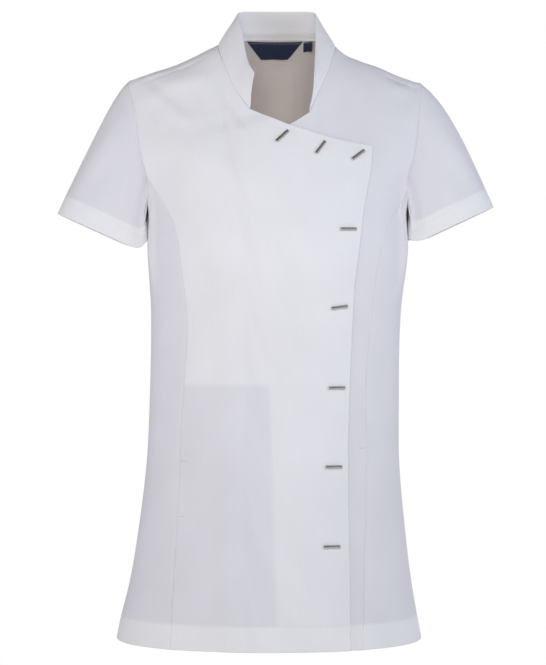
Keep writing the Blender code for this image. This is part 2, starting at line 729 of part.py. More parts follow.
def bar_mesh():
    """A half-round bar lying along X with its flat side at Z = 0."""
    shaped = bmesh.new()
    bmesh.ops.create_cone(
        shaped, cap_ends=True, segments=BAR_SEGMENTS, radius1=BAR_WIDTH / 2 * MM, radius2=BAR_WIDTH / 2 * MM,
        depth=BAR_LENGTH * MM, matrix=Matrix.Rotation(math.pi / 2, 4, "Y"),
    )
    bmesh.ops.scale(shaped, vec=(1, 1, 2 * BAR_HEIGHT / BAR_WIDTH), verts=shaped.verts)
    everything = shaped.verts[:] + shaped.edges[:] + shaped.faces[:]
    bmesh.ops.bisect_plane(shaped, geom=everything, plane_co=(0, 0, 0), plane_no=(0, 0, 1), clear_inner=True)
    bmesh.ops.remove_doubles(shaped, verts=shaped.verts, dist=WELD * MM)
    rim = [edge for edge in shaped.edges if edge.is_boundary]
    bmesh.ops.contextual_create(shaped, geom=rim)
    bmesh.ops.recalc_face_normals(shaped, faces=shaped.faces)
    mesh = bpy.data.meshes.new("bar")
    shaped.to_mesh(mesh)
    shaped.free()
    return mesh


def place_bar(bar, x, z, turn):
    """Seat a bar on the right front, turned to its angle in the cloth's plane."""
    spot = on_body(x, z, FRONT)
    point = body_point(spot[0], spot[1])
    normal = Vector(body_normal(spot[0], spot[1]))
    lift = float(overlap_lift(point[0], point[2])) + BAR_GAP
    angle = math.radians(turn)
    along = Vector((math.cos(angle), 0, math.sin(angle)))
    along = (along - normal * along.dot(normal)).normalized()
    frame = Matrix((along, normal.cross(along), normal)).transposed()
    bar.matrix_world = Matrix.Translation((Vector(point) + normal * lift) * MM) @ frame.to_4x4()


def build():
    for obj in list(bpy.data.objects):
        bpy.data.objects.remove(obj)
    collection = bpy.data.collections.new("beautician_tunic")
    bpy.context.scene.collection.children.link(collection)
    cloth = make_material("tunic_cloth", (0.80, 0.80, 0.82), 0.85)
    collar_cloth = make_material("collar_cloth", (0.78, 0.78, 0.80), 0.85)
    label_cloth = make_material("label_cloth", (0.008, 0.014, 0.04), 0.8)
    steel = make_material("polished_steel", (0.60, 0.60, 0.60), 0.18, 1.0)

    panels = {
        "front_right": (front_right_grid(), ("left", "top"), overlap_lift),
        "front_left": (front_left_grid(), ("right", "top"), None),
        "front_right_side": (front_side_grid("right"), ("left", "right", "top"), None),
        "front_left_side": (front_side_grid("left"), ("left", "right", "top"), None),
        "back_centre": (back_centre_grid(), ("left", "right", "top"), None),
        "back_right": (back_side_grid("right"), ("left", "right", "top"), None),
        "back_left": (back_side_grid("left"), ("left", "right", "top"), None),
    }
    for name, (grid, sides, lift) in panels.items():
        add_object(name, wall_mesh(name, *panel_skins(grid, sides, lift)), cloth, collection)
    add_object("collar", wall_mesh("collar", *collar_skins()), collar_cloth, collection)
    for hand in ("right", "left"):
        name = f"sleeve_{hand}"
        add_object(name, wall_mesh(name, *sleeve_skins(hand), closed=True), cloth, collection)
    for name, label in (("neck_label", NECK_LABEL), ("size_label", SIZE_LABEL)):
        add_object(name, wall_mesh(name, *label_skins(label)), label_cloth, collection)

    shared_bar = bar_mesh()
    for number, (x, z, turn) in enumerate(BARS["rows"], start=1):
        bar = add_object(f"bar_{number}", shared_bar.copy(), steel, collection)
        bevel = bar.modifiers.new("edges", "BEVEL")
        bevel.width = BAR_EDGE * MM
        bevel.segments = 1
        bevel.limit_method = "ANGLE"
        bevel.angle_limit = math.radians(50)
        place_bar(bar, x, z, turn)


build()
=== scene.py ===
# Beautician tunic: cloth panels, collar, sleeves, labels, closure bars and sewing,
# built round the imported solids. Sizes are in millimetres until a mesh is made, and in
# metres in the studio.
import math

import bmesh
import bpy
import numpy as np
from mathutils import Matrix, Vector


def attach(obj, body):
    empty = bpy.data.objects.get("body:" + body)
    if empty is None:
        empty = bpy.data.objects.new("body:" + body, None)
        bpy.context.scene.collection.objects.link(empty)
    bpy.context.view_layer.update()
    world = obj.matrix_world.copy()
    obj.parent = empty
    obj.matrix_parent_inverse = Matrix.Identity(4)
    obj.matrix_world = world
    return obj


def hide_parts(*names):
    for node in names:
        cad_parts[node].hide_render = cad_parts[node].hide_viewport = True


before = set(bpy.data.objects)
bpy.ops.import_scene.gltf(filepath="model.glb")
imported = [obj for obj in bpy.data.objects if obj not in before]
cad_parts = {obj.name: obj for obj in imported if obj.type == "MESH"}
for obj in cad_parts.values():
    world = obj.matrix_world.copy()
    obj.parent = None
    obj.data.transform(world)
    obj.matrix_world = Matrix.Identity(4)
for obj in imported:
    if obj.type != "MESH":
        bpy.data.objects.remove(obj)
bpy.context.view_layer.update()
print("tunic: frame loaded")

mm = 0.001
front, back = -1, 1
hands = ("right", "left")


def tableOf(names, *rows):
    return dict(names=names.split(), rows=rows)


# The body of the tunic. Level sections run on past the armholes, where the cloth is cut.
body = dict(
    hem=-728.0,
    underarm=-195.0,
    sectionPower=2.2,          # of the superellipse that a level section follows
    crestHalfWidth=205.0,
    frontFullLevel=-235.0,     # the front has its full depth here, at the bust
    backFullLevel=-170.0,      # the back has its full depth here, at the shoulder blades
    shoulderSeamDrop=4.0,      # the shoulder seam lies this far in front of the crest
    sections=tableOf(
        "z centre halfWidth front back",
        (-728, -10, 190, 130, 128),
        (-715, -10, 187.5, 128, 126),
        (-658, -8, 175.6, 120, 118),
        (-583, -6.3, 165, 112, 108),
        (-508, -5, 157.5, 106, 99),
        (-433, -3.4, 155.5, 100, 87),
        (-377, -2.5, 155, 99, 81),
        (-321, -1.3, 156, 109, 85),
        (-246, 0.6, 162, 125, 92),
        (-195, 0, 162, 121, 94),
        (-180, 0, 166, 119, 96),
        (-153, 0, 176, 114, 97),
        (-134, 0, 184, 110, 98),
        (-110, 0, 192, 104, 98),
        (-83, 0, 200, 98, 100),
        (-40, 0, 205, 92, 104),
        (60, 0, 205, 88, 112),
    ),
    crest=tableOf(
        "x z",
        (-205, -45), (-180, -33.6), (-152, -23.6), (-125, -14.9), (-100, -3.4), (-85, 4.4),
        (-72, 11), (-58, 23), (-40, 35.5), (0, 44.5), (40, 35.5), (58, 22.5),
        (71, 9.6), (84, -1.8), (100, -9), (125, -17.6), (152, -29.3), (178, -37.6),
        (205, -46),
    ),
)

# How far out each armhole lies, by height, and the seams of the panels.
seams = dict(
    armhole=tableOf(
        "z right left",
        (-195, 162, 162),
        (-190, 160.6, 160.8),
        (-180, 159, 159.6),
        (-153, 161.5, 162.5),
        (-134, 166.5, 168),
        (-107, 170.8, 172.5),
        (-83, 174.5, 175),
        (-59, 179.5, 177.5),
        (-36, 185.5, 180.5),
        (0, 190, 184),
    ),
    princessRight=tableOf(
        "z x",
        (-728, -128.3), (-640, -124.8), (-548, -118.9), (-460, -116.6), (-408, -112.8),
        (-323, -109.3), (-298, -112), (-272, -115.7), (-237, -119.8), (-213.6, -126.9),
        (-191, -139.1), (-173, -151.5), (-156, -161),
    ),
    princessLeft=tableOf(
        "z x",
        (-728, 103.7), (-640, 104.8), (-563, 107), (-489, 108.8), (-387, 109.2),
        (-346, 113.5), (-298, 118.2), (-264, 122.8), (-250, 126.2), (-230.7, 131),
        (-213, 138.3), (-195, 149), (-178, 159.7),
    ),
    princessBack=tableOf(
        "z x",
        (-728, 88), (-560, 76), (-380, 58), (-300, 56), (-200, 48), (-100, 36), (30, 31),
    ),
    overlapEdge=tableOf(
        "z x",
        (-728, 86), (-660, 85.8), (-595, 84.3), (-478, 84.5), (-412, 86.4), (-340, 89.5),
        (-290, 91.8), (-241, 97.7), (-206, 102), (-181, 106.4), (-154, 111.6),
        (-124, 114.6),
    ),
    underlapEdge=tableOf(
        "z x",
        (-728, -5.9), (-550, -7.2), (-406, -9.6), (-338, -15.5), (-270, -26.2),
        (-209, -47.6), (-159, -69.5), (-125, -84.5),
    ),
    overlapTop=((-33.3, -78), (12.2, -98.8), (38.7, -107), (74.8, -116.8), (114.6, -123.6)),
    underlapTop=((39.6, -82.2), (12.2, -98.8), (-26, -110), (-84.5, -125)),
    princessHead=66.0,         # height of the curved head of a front princess seam
    sidePanelTip=0.02,
)

# The neck seam from the right end of the collar round the back to the left end, with the
# collar's top edge above each of its points.
collarForm = dict(
    wall=1.5,                  # two layers of cloth round an interlining
    bulge=1.6,
    gap=0.5,                   # from the panels it is sewn to
    rows=22,                   # even rows between two shares of the height,
    evenRows=(0.08, 0.96),
    footRows=(0, 0.015, 0.04),                 # and more at its foot and top
    topRows=(0.985, 1),
    runParts=34,               # columns between two seams
    padding=1.2,               # the allowances sewn inside it thicken its foot inwards,
    paddingAt=8.0,             # this far above the seam
    paddingWidth=4.5,
    rightEnd=0,                # rows of the table where the panels' seams meet the collar
    rightShoulder=4,
    rightBack=8,
    leftBack=10,
    leftShoulder=14,
    leftEnd=18,
    table=tableOf(
        "x z side topX topY topZ",
        (-33.3, -78, front, -28.5, -66, -32.5),
        (-44, -63, front, -35, -54, -20),
        (-54, -46, front, -38.8, -40, -5),
        (-66, -18, front, -42.8, -22, 20),
        (-73, 3, front, -46.8, -5, 39),
        (-72.5, 10, back, -49.4, 8, 48.5),
        (-64, 15, back, -48, 18.5, 53.5),
        (-47, 21.6, back, -37, 25.5, 55.5),
        (-31, 23, back, -23.5, 28, 56),
        (0, 23.5, back, 0, 29, 56.3),
        (31, 23, back, 23.5, 28, 56),
        (47, 21.6, back, 37, 25.5, 55.4),
        (64, 14.5, back, 47.5, 18.5, 53),
        (72, 8, back, 49, 8, 47),
        (72.5, 2, front, 48.5, -5, 34),
        (66, -19, front, 48, -22, 14),
        (56, -44, front, 47.5, -40, -8),
        (47, -64, front, 47.2, -54, -22),
        (39.6, -82.2, front, 46.5, -66, -33),
    ),
)

# The cloth: one wall, how the right front stands off the underlap, and its soft folds.
cloth = dict(
    wall=1.0,
    step=4.6,                  # spacing of the mesh
    seamGap=0.03,              # each side of a seam stands back this far from its line
    seamSink=0.5,              # and rolls in this deep
    seamRoll=0.8,              # over this width
    sinkWall=0.4,              # the wall thins by this share of what it rolls in
    armholeFrom=148.0,         # the armholes lie further out than this
    armholeEase=12.0,
    armholeSink=0.04,          # they are pressed flatter,
    armholeRidge=0.5,          # with the allowances showing as a ridge on the body
    ridgeAt=3.6,
    ridgeWidth=3.0,
    foldRim=0.42,              # how far a folded edge bows out, as a share of its wall
    sewnRim=0.08,
    allowance=9.0,             # width of the seam allowance pressed open inside
    allowanceWall=0.6,
    hemBand=30.0,
    hemGroove=0.35,            # the stitches press a groove along the hem's upper edge
    grooveWidth=1.3,
    hemWall=0.5,               # the turned-up hem thickens the wall inwards
    overlapLift=3.2,
    overlapEase=35.0,
    overlapMargin=40.0,        # full for this far beyond the underlap's edge,
    overlapHead=10.0,          # and above its top
    overlapHeadEase=16.0,
    folds=tableOf(
        "side x z angle length width depth",
        (front, -66, -99, 122, 34, 11, -3.0),
        (front, 66, -72, 62, 30, 10, -2.0),
        (front, -128, -52, 132, 32, 11, -2.6),
        (front, -110, -88, 128, 36, 13, 2.2),
        (front, -60, -150, 146, 60, 24, 2.4),
        (front, 134, -88, 60, 34, 12, -2.2),
        (front, -138, -455, 88, 75, 13, -4.5),
        (front, 132, -420, 94, 85, 13, -4.5),
        (front, 92, -600, 88, 90, 14, -2.5),
        (front, -60, -620, 92, 80, 18, 2.5),
        (back, -132, -430, 92, 80, 13, -4.5),
        (back, 134, -440, 88, 80, 13, -4.5),
        (back, -112, -60, 50, 34, 12, -2.6),
        (back, 112, -64, 130, 34, 12, -2.4),
        (back, -50, -390, 12, 36, 12, -2.8),
        (back, 44, -362, 168, 38, 12, -2.6),
        (back, 40, -610, 90, 90, 18, 2.8),
        (back, -58, -640, 88, 80, 18, -2.4),
    ),
    # Small creases that the solids leave out, in the same terms but at right angles to the
    # cloth. They die out towards the seams.
    creaseEase=5.0,
    creases=tableOf(
        "side x z angle length width depth",
        (front, -92, -7, 32, 22, 2.8, -1.2),       # along the right shoulder seam
        (front, -121, -21, 14, 20, 2.8, -1.5),
        (front, -148, -31, 22, 20, 2.8, -1.3),
        (front, -118, -42, 12, 30, 10, 3.6),       # and below it
        (front, -157, -61, 20, 18, 9, 2.1),
        (front, -142, -51, 136, 20, 5, -2.1),
        (front, -114, -75, 138, 22, 6, -2.0),
        (front, -134, -70, 138, 24, 6, 1.4),
        (front, -158, -72, 122, 20, 5, -1.8),
        (front, -77, -38, 115, 20, 6, -1.4),       # round the collar
        (front, -85, -42, 115, 20, 6, 1.7),
        (front, -54, -78, 122, 20, 6, -1.4),
        (front, -61, -82, 122, 20, 6, 1.7),
        (front, -39, -97, 130, 16, 6, -0.6),
        (front, -45, -102, 130, 16, 6, 0.8),
        (front, -90, -88, 2, 34, 12, 1.6),
        (front, -104, -113, 4, 36, 8, -1.3),
        (front, -56, -112, 151, 34, 9, 0.9),
        (front, -66, -130, 151, 34, 9, -1.0),
        (front, -28, -146, 142, 24, 7, 0.5),       # across the chest
        (front, 84, -52, 66, 22, 5, -0.7),
        (front, 152, -38, 160, 20, 2.8, -1.3),     # along the left shoulder seam
        (front, 154, -50, 160, 18, 8, 2.0),
        (front, 166, -57, 70, 16, 6, -2.6),        # at the left armhole
        (front, 149, -164, 50, 17, 5.5, -1.4),
        (front, 139, -152, 52, 18, 6, 0.7),
        (front, -150, -150, 112, 26, 6, -1.1),     # at the right one
        (front, -138, -170, 124, 24, 6, 0.8),
        (front, -136, -368, 20, 18, 6, -0.8),      # at the waist
        (front, 130, -352, 158, 18, 6, -0.8),
        (front, 20, -330, 6, 40, 9, -0.5),
        (front, 101, -588, 88, 7, 3.5, 1.2),       # pucker under the left pocket
        (front, 101, -596, 12, 9, 3, -0.9),
        (front, -40, -470, 86, 70, 12, 0.4),       # hanging folds of the skirt
        (front, 30, -560, 93, 80, 16, -0.4),
        (front, 88, -605, 88, 80, 14, 1.3),
        (back, 0, -350, 2, 44, 9, -1.0),
        (back, -30, -420, 8, 34, 8, 0.8),
        (back, 90, -300, 150, 30, 8, -0.9),
        (back, -92, -296, 28, 30, 8, -0.9),
        (back, 140, -150, 112, 30, 6, -1.0),
        (back, -142, -146, 66, 30, 6, -1.0),
        (back, -5, -22, 176, 9, 3, -0.8),          # below the neck label
        (back, 10, -8, 8, 30, 7, 1.6),
        (back, 43, -20, 86, 60, 6, 3.0),           # beside the left back seam
    ),
    # Below the underarms the front's cloth fills the gap beside the sleeves.
    fill=dict(forward=25.0, rightInward=1.3, leftInward=0.5, reach=54.0, lean=0.8, peak=1.5,
              head=-160.0, start=24.0, foot=-330.0, fade=90.0),
    # Long, shallow waves of the hanging cloth: how many go round the body, how far each
    # runs down it, its depth and phase.
    waveHead=-60.0,            # the shoulders above this are held smooth
    waveEase=260.0,
    waves=tableOf(
        "round down depth phase",
        (3.0, 310, 0.5, 0.4), (5.0, 190, 0.35, 2.1), (8.0, 140, 0.22, 4.0), (13.0, 95, 0.14, 1.2),
    ),
)


def column(table, name):
    return np.array([row[table["names"].index(name)] for row in table["rows"]], float)


def cubic(share, start, leaving, end, arriving):
    return (
        (2 * share**3 - 3 * share**2 + 1) * start
        + (share**3 - 2 * share**2 + share) * leaving
        + (3 * share**2 - 2 * share**3) * end
        + (share**3 - share**2) * arriving
    )


def smoothCurve(knots, values, at):  # a cubic through the values, slopes from neighbours
    slopes = np.gradient(values, knots)
    at = np.clip(np.asarray(at, float), knots[0], knots[-1])
    k = np.clip(np.searchsorted(knots, at) - 1, 0, len(knots) - 2)
    step = knots[k + 1] - knots[k]
    share = (at - knots[k]) / step
    return cubic(share, values[k], step * slopes[k], values[k + 1], step * slopes[k + 1])


def smooth(table, name, at):
    return smoothCurve(column(table, table["names"][0]), column(table, name), at)


def ease(share):
    share = np.clip(share, 0, 1)
    return share * share * (3 - 2 * share)


def bell(distance, width):  # 1 at no distance, and less on both sides
    return np.exp(-((distance / width) ** 2))


def signedPower(value, power):
    return np.sign(value) * np.abs(value) ** power


def unit(vectors):
    return vectors / np.linalg.norm(vectors, axis=-1, keepdims=True)


# A point of the body is a pair (turn, drop): the turn runs from 0 at the left side to pi
# at the right, and the drop is the root of the depth below the crest, negative in front.
def crestHeight(turn):
    across = signedPower(np.cos(turn), 2 / body["sectionPower"])
    return smooth(body["crest"], "z", across * body["crestHalfWidth"])


def foldRelief(table, side, x, z, ends=4):  # a higher power ends the folds more abruptly
    relief = np.zeros_like(x)
    for foldSide, foldX, foldZ, angle, length, width, depth in table["rows"]:
        alongX, alongZ = math.cos(math.radians(angle)), math.sin(math.radians(angle))
        along = (x - foldX) * alongX + (z - foldZ) * alongZ
        across = (z - foldZ) * alongX - (x - foldX) * alongZ
        shape = np.exp(-np.abs(along / length) ** ends - (across / width) ** 2)
        relief += np.where(side == foldSide, depth * shape, 0.0)
    return relief


def waveRelief(turn, side, z):
    relief = np.zeros_like(z)
    for number, down, depth, phase in cloth["waves"]["rows"]:
        relief += depth * np.sin(number * turn * side + phase + z / down * 2 * math.pi)
    return relief * ease((cloth["waveHead"] - z) / cloth["waveEase"])


def underarmFill(across, y, z):  # how far the front comes forward and inward there
    fill = cloth["fill"]
    beside = np.clip(-y / fill["reach"], 0, 1) ** fill["lean"]
    shape = np.sin(math.pi * beside) ** fill["peak"]
    shape = shape * ease((fill["head"] - z) / fill["start"])
    shape = shape * ease((z - fill["foot"]) / fill["fade"])
    inward = np.where(across > 0, -fill["leftInward"], fill["rightInward"])
    return fill["forward"] * shape, inward * shape


def bodyPoint(turn, drop):
    crest = crestHeight(turn)
    z = crest - drop**2
    sections = body["sections"]
    across = signedPower(np.cos(turn), 2 / body["sectionPower"])
    x = smooth(sections, "centre", z) + smooth(sections, "halfWidth", z) * across
    inFront = drop < 0
    reach = np.where(inFront, smooth(sections, "front", z), smooth(sections, "back", z))
    full = crest - np.where(inFront, body["frontFullLevel"], body["backFullLevel"])
    fall = np.clip(drop**2 / full, 0, 1)
    rounding = np.where(fall < 1, drop * np.sqrt((2 - fall) / full), np.sign(drop))
    bulge = np.abs(np.sin(turn)) ** (2 / body["sectionPower"])
    side = np.sign(drop)
    relief = (foldRelief(cloth["folds"], side, x, z) + waveRelief(turn, side, z)) * bulge
    y = (reach + relief) * bulge * rounding
    forward, inward = underarmFill(across, y, z)
    return np.stack([x + inward, y - forward, z], axis=-1)


def bodyNormal(turn, drop):
    turnStep, dropStep = 0.004, 0.04
    after, before = np.minimum(turn + turnStep, math.pi), np.maximum(turn - turnStep, 0)
    alongTurn = bodyPoint(after, drop) - bodyPoint(before, drop)
    alongDrop = bodyPoint(turn, drop + dropStep) - bodyPoint(turn, drop - dropStep)
    return unit(np.cross(alongDrop, alongTurn))


def onBody(x, z, side):
    x, z = np.asarray(x, float), np.asarray(z, float)
    sections = body["sections"]
    across = (x - smooth(sections, "centre", z)) / smooth(sections, "halfWidth", z)
    turn = np.arccos(signedPower(np.clip(across, -1, 1), body["sectionPower"] / 2))
    drop = side * np.sqrt(np.maximum(crestHeight(turn) - z, 0))
    return np.stack([turn, drop], axis=-1)


# Seams, as rows of (turn, drop), fine enough to be followed as curves.
seamPoints = dict(armholeAbove=34, armholeBelow=24, princessHead=25, shoulder=27, long=260,
                  frontNeck=26, sideNeck=16, backNeck=20, topEdge=9, sidePanel=12)


def armSign(hand):
    return -1 if hand == "right" else 1


def crestTip(hand):  # height at which the armhole crosses the shoulder crest
    z = -40.0
    for _ in range(6):  # it settles in a few rounds
        reach = float(smooth(seams["armhole"], hand, z)) * armSign(hand)
        across = reach / float(smooth(body["sections"], "halfWidth", z))
        z = float(smooth(body["crest"], "z", across * body["crestHalfWidth"]))
    return z


def armhole(hand, side, start, end, parts):
    low, tip = body["underarm"], crestTip(hand)
    angles = [math.acos(min(1.0, max(0.0, (z - low) / (tip - low)))) for z in (start, end)]
    z = low + (tip - low) * np.cos(np.linspace(*angles, parts + 1))
    return onBody(armSign(hand) * smooth(seams["armhole"], hand, z), z, side)


def princessTable(hand):
    return seams["princess" + hand.capitalize()]


def princessTop(hand):
    return princessTable(hand)["rows"][-1][0]


def frontArmhole(hand):  # shoulder to princess seam, then on to the underarm
    tip = crestTip(hand) - body["shoulderSeamDrop"]
    upper = armhole(hand, front, tip, princessTop(hand), seamPoints["armholeAbove"])
    lower = armhole(hand, front, princessTop(hand), body["underarm"], seamPoints["armholeBelow"])
    return upper, lower


def backArmhole(hand):  # from the shoulder seam over the crest to the underarm
    parts = seamPoints["armholeAbove"] + seamPoints["armholeBelow"]
    lower = armhole(hand, back, crestTip(hand), body["underarm"], parts)
    return np.concatenate([frontArmhole(hand)[0][:1], lower])


def joined(*runs):
    return np.concatenate([runs[0]] + [run[1:] for run in runs[1:]])


# Rows of the panels, as heights above the hem. They are the same on all seams near the
# hem, and above that spread to each seam's length.
rowForm = dict(
    nearHem=(0, 0.5, 1.4, 4, 8.5, 13, 17.5, 22, 26, 28.4, 29.4, 30.2, 31.2, 33.5, 37.5),
    evenFrom=42.0,
    sameUpTo=60.0,
    sideSeam=533.0,
    rootStep=0.3,              # over the shoulder they are even in drop instead,
    rootEnd=4.7,               # down to this drop
    narrowest=0.3,             # the narrowest column, as a share of an even one
    columnSpread=90.0,         # the columns have spread this far below the top
    levelFrom=140.0,           # the rows turn level between this height
    levelTo=40.0,              # and this one
    besideSeam=(0.6, 1.7),     # two more rows, this far from a seam,
    besideWithin=3.0,          # or closer where the next row is closer than this
)


def spreadRows(height, top, reference):  # heights spread to another length of seam
    low = rowForm["sameUpTo"]
    return np.where(height < low, height, low + (height - low) * (top - low) / (reference - low))


def levels(length, reference=rowForm["sideSeam"]):
    start = rowForm["evenFrom"]
    rest = np.linspace(start, reference, int((reference - start) / cloth["step"]) + 1)
    return spreadRows(np.concatenate([rowForm["nearHem"], rest]), length, reference)[::-1]


def sideSeam(hand, side):
    z = body["hem"] + levels(body["underarm"] - body["hem"])
    turn = np.full_like(z, math.pi if hand == "right" else 0.0)
    return np.stack([turn, side * np.sqrt(crestHeight(turn) - z)], axis=-1)


def frontPrincess(hand):
    top = princessTop(hand)
    chest = top - seams["princessHead"]
    z = np.concatenate([np.linspace(top, chest, seamPoints["princessHead"])[:-1],
                        body["hem"] + levels(chest - body["hem"])])
    return onBody(smooth(princessTable(hand), "x", z), z, front)


def neckRun(first, last, parts):  # points of the neck seam, and the collar's top there
    table = collarForm["table"]
    seam = onBody(column(table, "x"), column(table, "z"), column(table, "side"))
    knots = np.arange(len(table["rows"]), dtype=float)
    at = np.linspace(first, last, parts + 1)
    points = np.stack([smoothCurve(knots, seam[:, k], at) for k in (0, 1)], axis=-1)
    names = ("topX", "topY", "topZ")
    tops = np.stack([smoothCurve(knots, column(table, name), at) for name in names], axis=-1)
    return points, tops


def neckSeam(first, last, parts):  # between two named rows of the collar's table
    return neckRun(collarForm[first], collarForm[last], parts)[0]


def backPrincess(hand):
    start = neckSeam(hand + "Back", hand + "Shoulder", 1)[0]
    top = float(crestHeight(start[0])) - start[1] ** 2
    z = top + (body["hem"] - top) * np.linspace(0, 1, seamPoints["long"])
    seam = onBody(armSign(hand) * smooth(seams["princessBack"], "x", z), z, back)
    seam[0] = start
    return seam


def shoulderSeam(hand):
    tip = frontArmhole(hand)[0][0]
    neck = neckSeam(hand + "Shoulder", hand + "Back", 1)[0]
    return tip + (neck - tip) * np.linspace(0, 1, seamPoints["shoulder"])[:, None]


def edgeRun(points):  # a front's free top edge through given points
    xz, last = np.array(points, float), len(points) - 1
    knots = np.arange(len(xz), dtype=float)
    at = np.linspace(0, last, last * seamPoints["topEdge"] + 1)
    return onBody(smoothCurve(knots, xz[:, 0], at), smoothCurve(knots, xz[:, 1], at), front)


def freeEdge(table):
    z = np.linspace(table["rows"][-1][0], body["hem"], seamPoints["long"])
    return onBody(smooth(table, "x", z), z, front)


def withDepth(seam, power=2):  # its drop as a depth, or at the power 0.5 the other way round
    return np.stack([seam[..., 0], signedPower(seam[..., 1], power)], axis=-1)


# Panels, as grids of (turn, drop) whose columns run from the top seam to the hem.
def panelGrid(top, left, right):
    top, left, right = withDepth(top), withDepth(left), withDepth(right)
    side = np.sign(left[-1, 1])
    # Columns spread soon below the top, also where the top seam runs straight down.
    steps = np.diff(top[:, 0]) / (top[-1, 0] - top[0, 0])
    narrowest = rowForm["narrowest"] / len(steps)
    across = np.concatenate([[0], np.cumsum(np.maximum(steps, narrowest))])
    across /= across[-1]
    spread = top[0, 0] + (top[-1, 0] - top[0, 0]) * across
    hemTurn = left[-1, 0] + (right[-1, 0] - left[-1, 0]) * across
    hemDepth = side * (crestHeight(hemTurn) - body["hem"])
    total = np.abs(hemDepth - top[:, 1])

    # Rows of the first column: even in drop over the shoulder, then even in depth.
    start, end = side * top[0, 1], side * hemDepth[0]
    roots = np.arange(signedPower(start, 0.5), rowForm["rootEnd"], rowForm["rootStep"])
    rounded = signedPower(roots, 2)
    below = end - levels(end - rounded[-1])
    reference = (end - np.concatenate([rounded[:-1], below]))[:, None]
    height = spreadRows(reference, total, total[0])
    down = 1 - height / total
    spreading = ease((total - height) / rowForm["columnSpread"])
    turn = (1 - down) * (top[:, 0] * (1 - spreading) + spread * spreading) + down * hemTurn
    depth = hemDepth - side * height
    for seam, near, share in ((left, 0, 1 - across), (right, -1, across)):
        wanted = np.interp(side * depth[:, near], side * seam[:, 1], seam[:, 0])
        turn = turn + share**3 * (wanted - turn[:, near])[:, None]
    level = ease((rowForm["levelFrom"] - height) / (rowForm["levelFrom"] - rowForm["levelTo"]))
    depth = depth * (1 - level) + side * (crestHeight(turn) - body["hem"] - height) * level
    return withDepth(np.stack([turn, depth], axis=-1), 0.5)


def ruled(one, other):  # the grid between two seams
    share = np.linspace(0, 1, seamPoints["sidePanel"] + 1)[None, :]
    turn = one[:, :1] * (1 - share) + other[:, :1] * share
    oneZ, otherZ = (crestHeight(seam[:, 0]) - seam[:, 1] ** 2 for seam in (one, other))
    z = oneZ[:, None] * (1 - share) + otherZ[:, None] * share
    return np.stack([turn, -np.sqrt(crestHeight(turn) - z)], axis=-1)


def frontRightGrid():
    left = joined(frontArmhole("right")[0], frontPrincess("right"))
    neck = neckSeam("rightShoulder", "rightEnd", seamPoints["frontNeck"])
    top = joined(shoulderSeam("right"), neck, edgeRun(seams["overlapTop"]))
    return panelGrid(top, left, freeEdge(seams["overlapEdge"]))


def frontLeftGrid():
    right = joined(frontArmhole("left")[0], frontPrincess("left"))
    neck = neckSeam("leftEnd", "leftShoulder", seamPoints["frontNeck"])
    top = joined(edgeRun(seams["underlapTop"][::-1]), neck, shoulderSeam("left")[::-1])
    return panelGrid(top[::-1], right, freeEdge(seams["underlapEdge"]))[:, ::-1]


def frontSideGrid(hand):
    outside = joined(frontArmhole(hand)[1], sideSeam(hand, front))
    seam = frontPrincess(hand)
    outside[0] = seam[0] + (outside[1] - seam[0]) * seams["sidePanelTip"]
    return ruled(outside, seam) if hand == "right" else ruled(seam, outside)


def backSideGrid(hand):
    outside = joined(backArmhole(hand), sideSeam(hand, back))
    neck = neckSeam(hand + "Shoulder", hand + "Back", seamPoints["sideNeck"])
    grid = panelGrid(joined(shoulderSeam(hand), neck), outside, backPrincess(hand))
    return grid if hand == "right" else grid[:, ::-1]


def backCentreGrid():
    top = neckSeam("rightBack", "leftBack", seamPoints["backNeck"])
    return panelGrid(top, backPrincess("right"), backPrincess("left"))


def refined(grid, side):  # two more lines of points close to one side of a grid
    lines = grid if side == "top" else np.swapaxes(grid, 0, 1)
    lines = lines[::-1] if side == "right" else lines
    points = bodyPoint(lines[:2, :, 0], lines[:2, :, 1])
    apart = np.linalg.norm(points[1] - points[0], axis=-1)[:, None]
    edge, inner = withDepth(lines[0]), withDepth(lines[1])
    extra = []
    for offset in rowForm["besideSeam"]:
        share = np.minimum(offset / np.maximum(apart, 1e-6), offset / rowForm["besideWithin"])
        extra.append(withDepth(edge + (inner - edge) * share, 0.5))
    lines = np.concatenate([lines[:1], np.stack(extra), lines[1:]])
    lines = lines[::-1] if side == "right" else lines
    return lines if side == "top" else np.swapaxes(lines, 0, 1)


def arcs(points, axis):  # distance run along each line of a grid
    steps = np.linalg.norm(np.diff(points, axis=axis), axis=-1)
    return np.insert(np.cumsum(steps, axis=axis), 0, 0.0, axis=axis)


def overlapLift(x, z):
    edge = smooth(seams["underlapEdge"], "x", z)
    eased = ease((x - edge + cloth["overlapMargin"] + cloth["overlapEase"]) / cloth["overlapEase"])
    topX, topZ = np.array(seams["underlapTop"][::-1], float).T
    top = np.interp(x, topX, topZ)
    below = ease((top + cloth["overlapHead"] - z) / cloth["overlapHeadEase"] + 1)
    return cloth["overlapLift"] * eased * below


# Pockets let into the front princess seams: where the mouths are, and how they gape.
pockets = dict(
    mouths=dict(
        frontRight=dict(side="left", heights=(-571, -505)),
        frontLeft=dict(side="right", heights=(-586, -489)),
    ),
    ease=8.0,
    stand=0.7,
    reach=5.0,
    tack=8.0,                  # length of the bar tack at each end of a mouth
)


def pocketMouth(z, heights):  # 1 along a pocket's mouth, 0 past its ends
    low, high = heights
    return ease((z - low) / pockets["ease"] + 1) * ease((high - z) / pockets["ease"] + 1)


farAway = 50.0                 # stands for the distance of an edge that isn't there


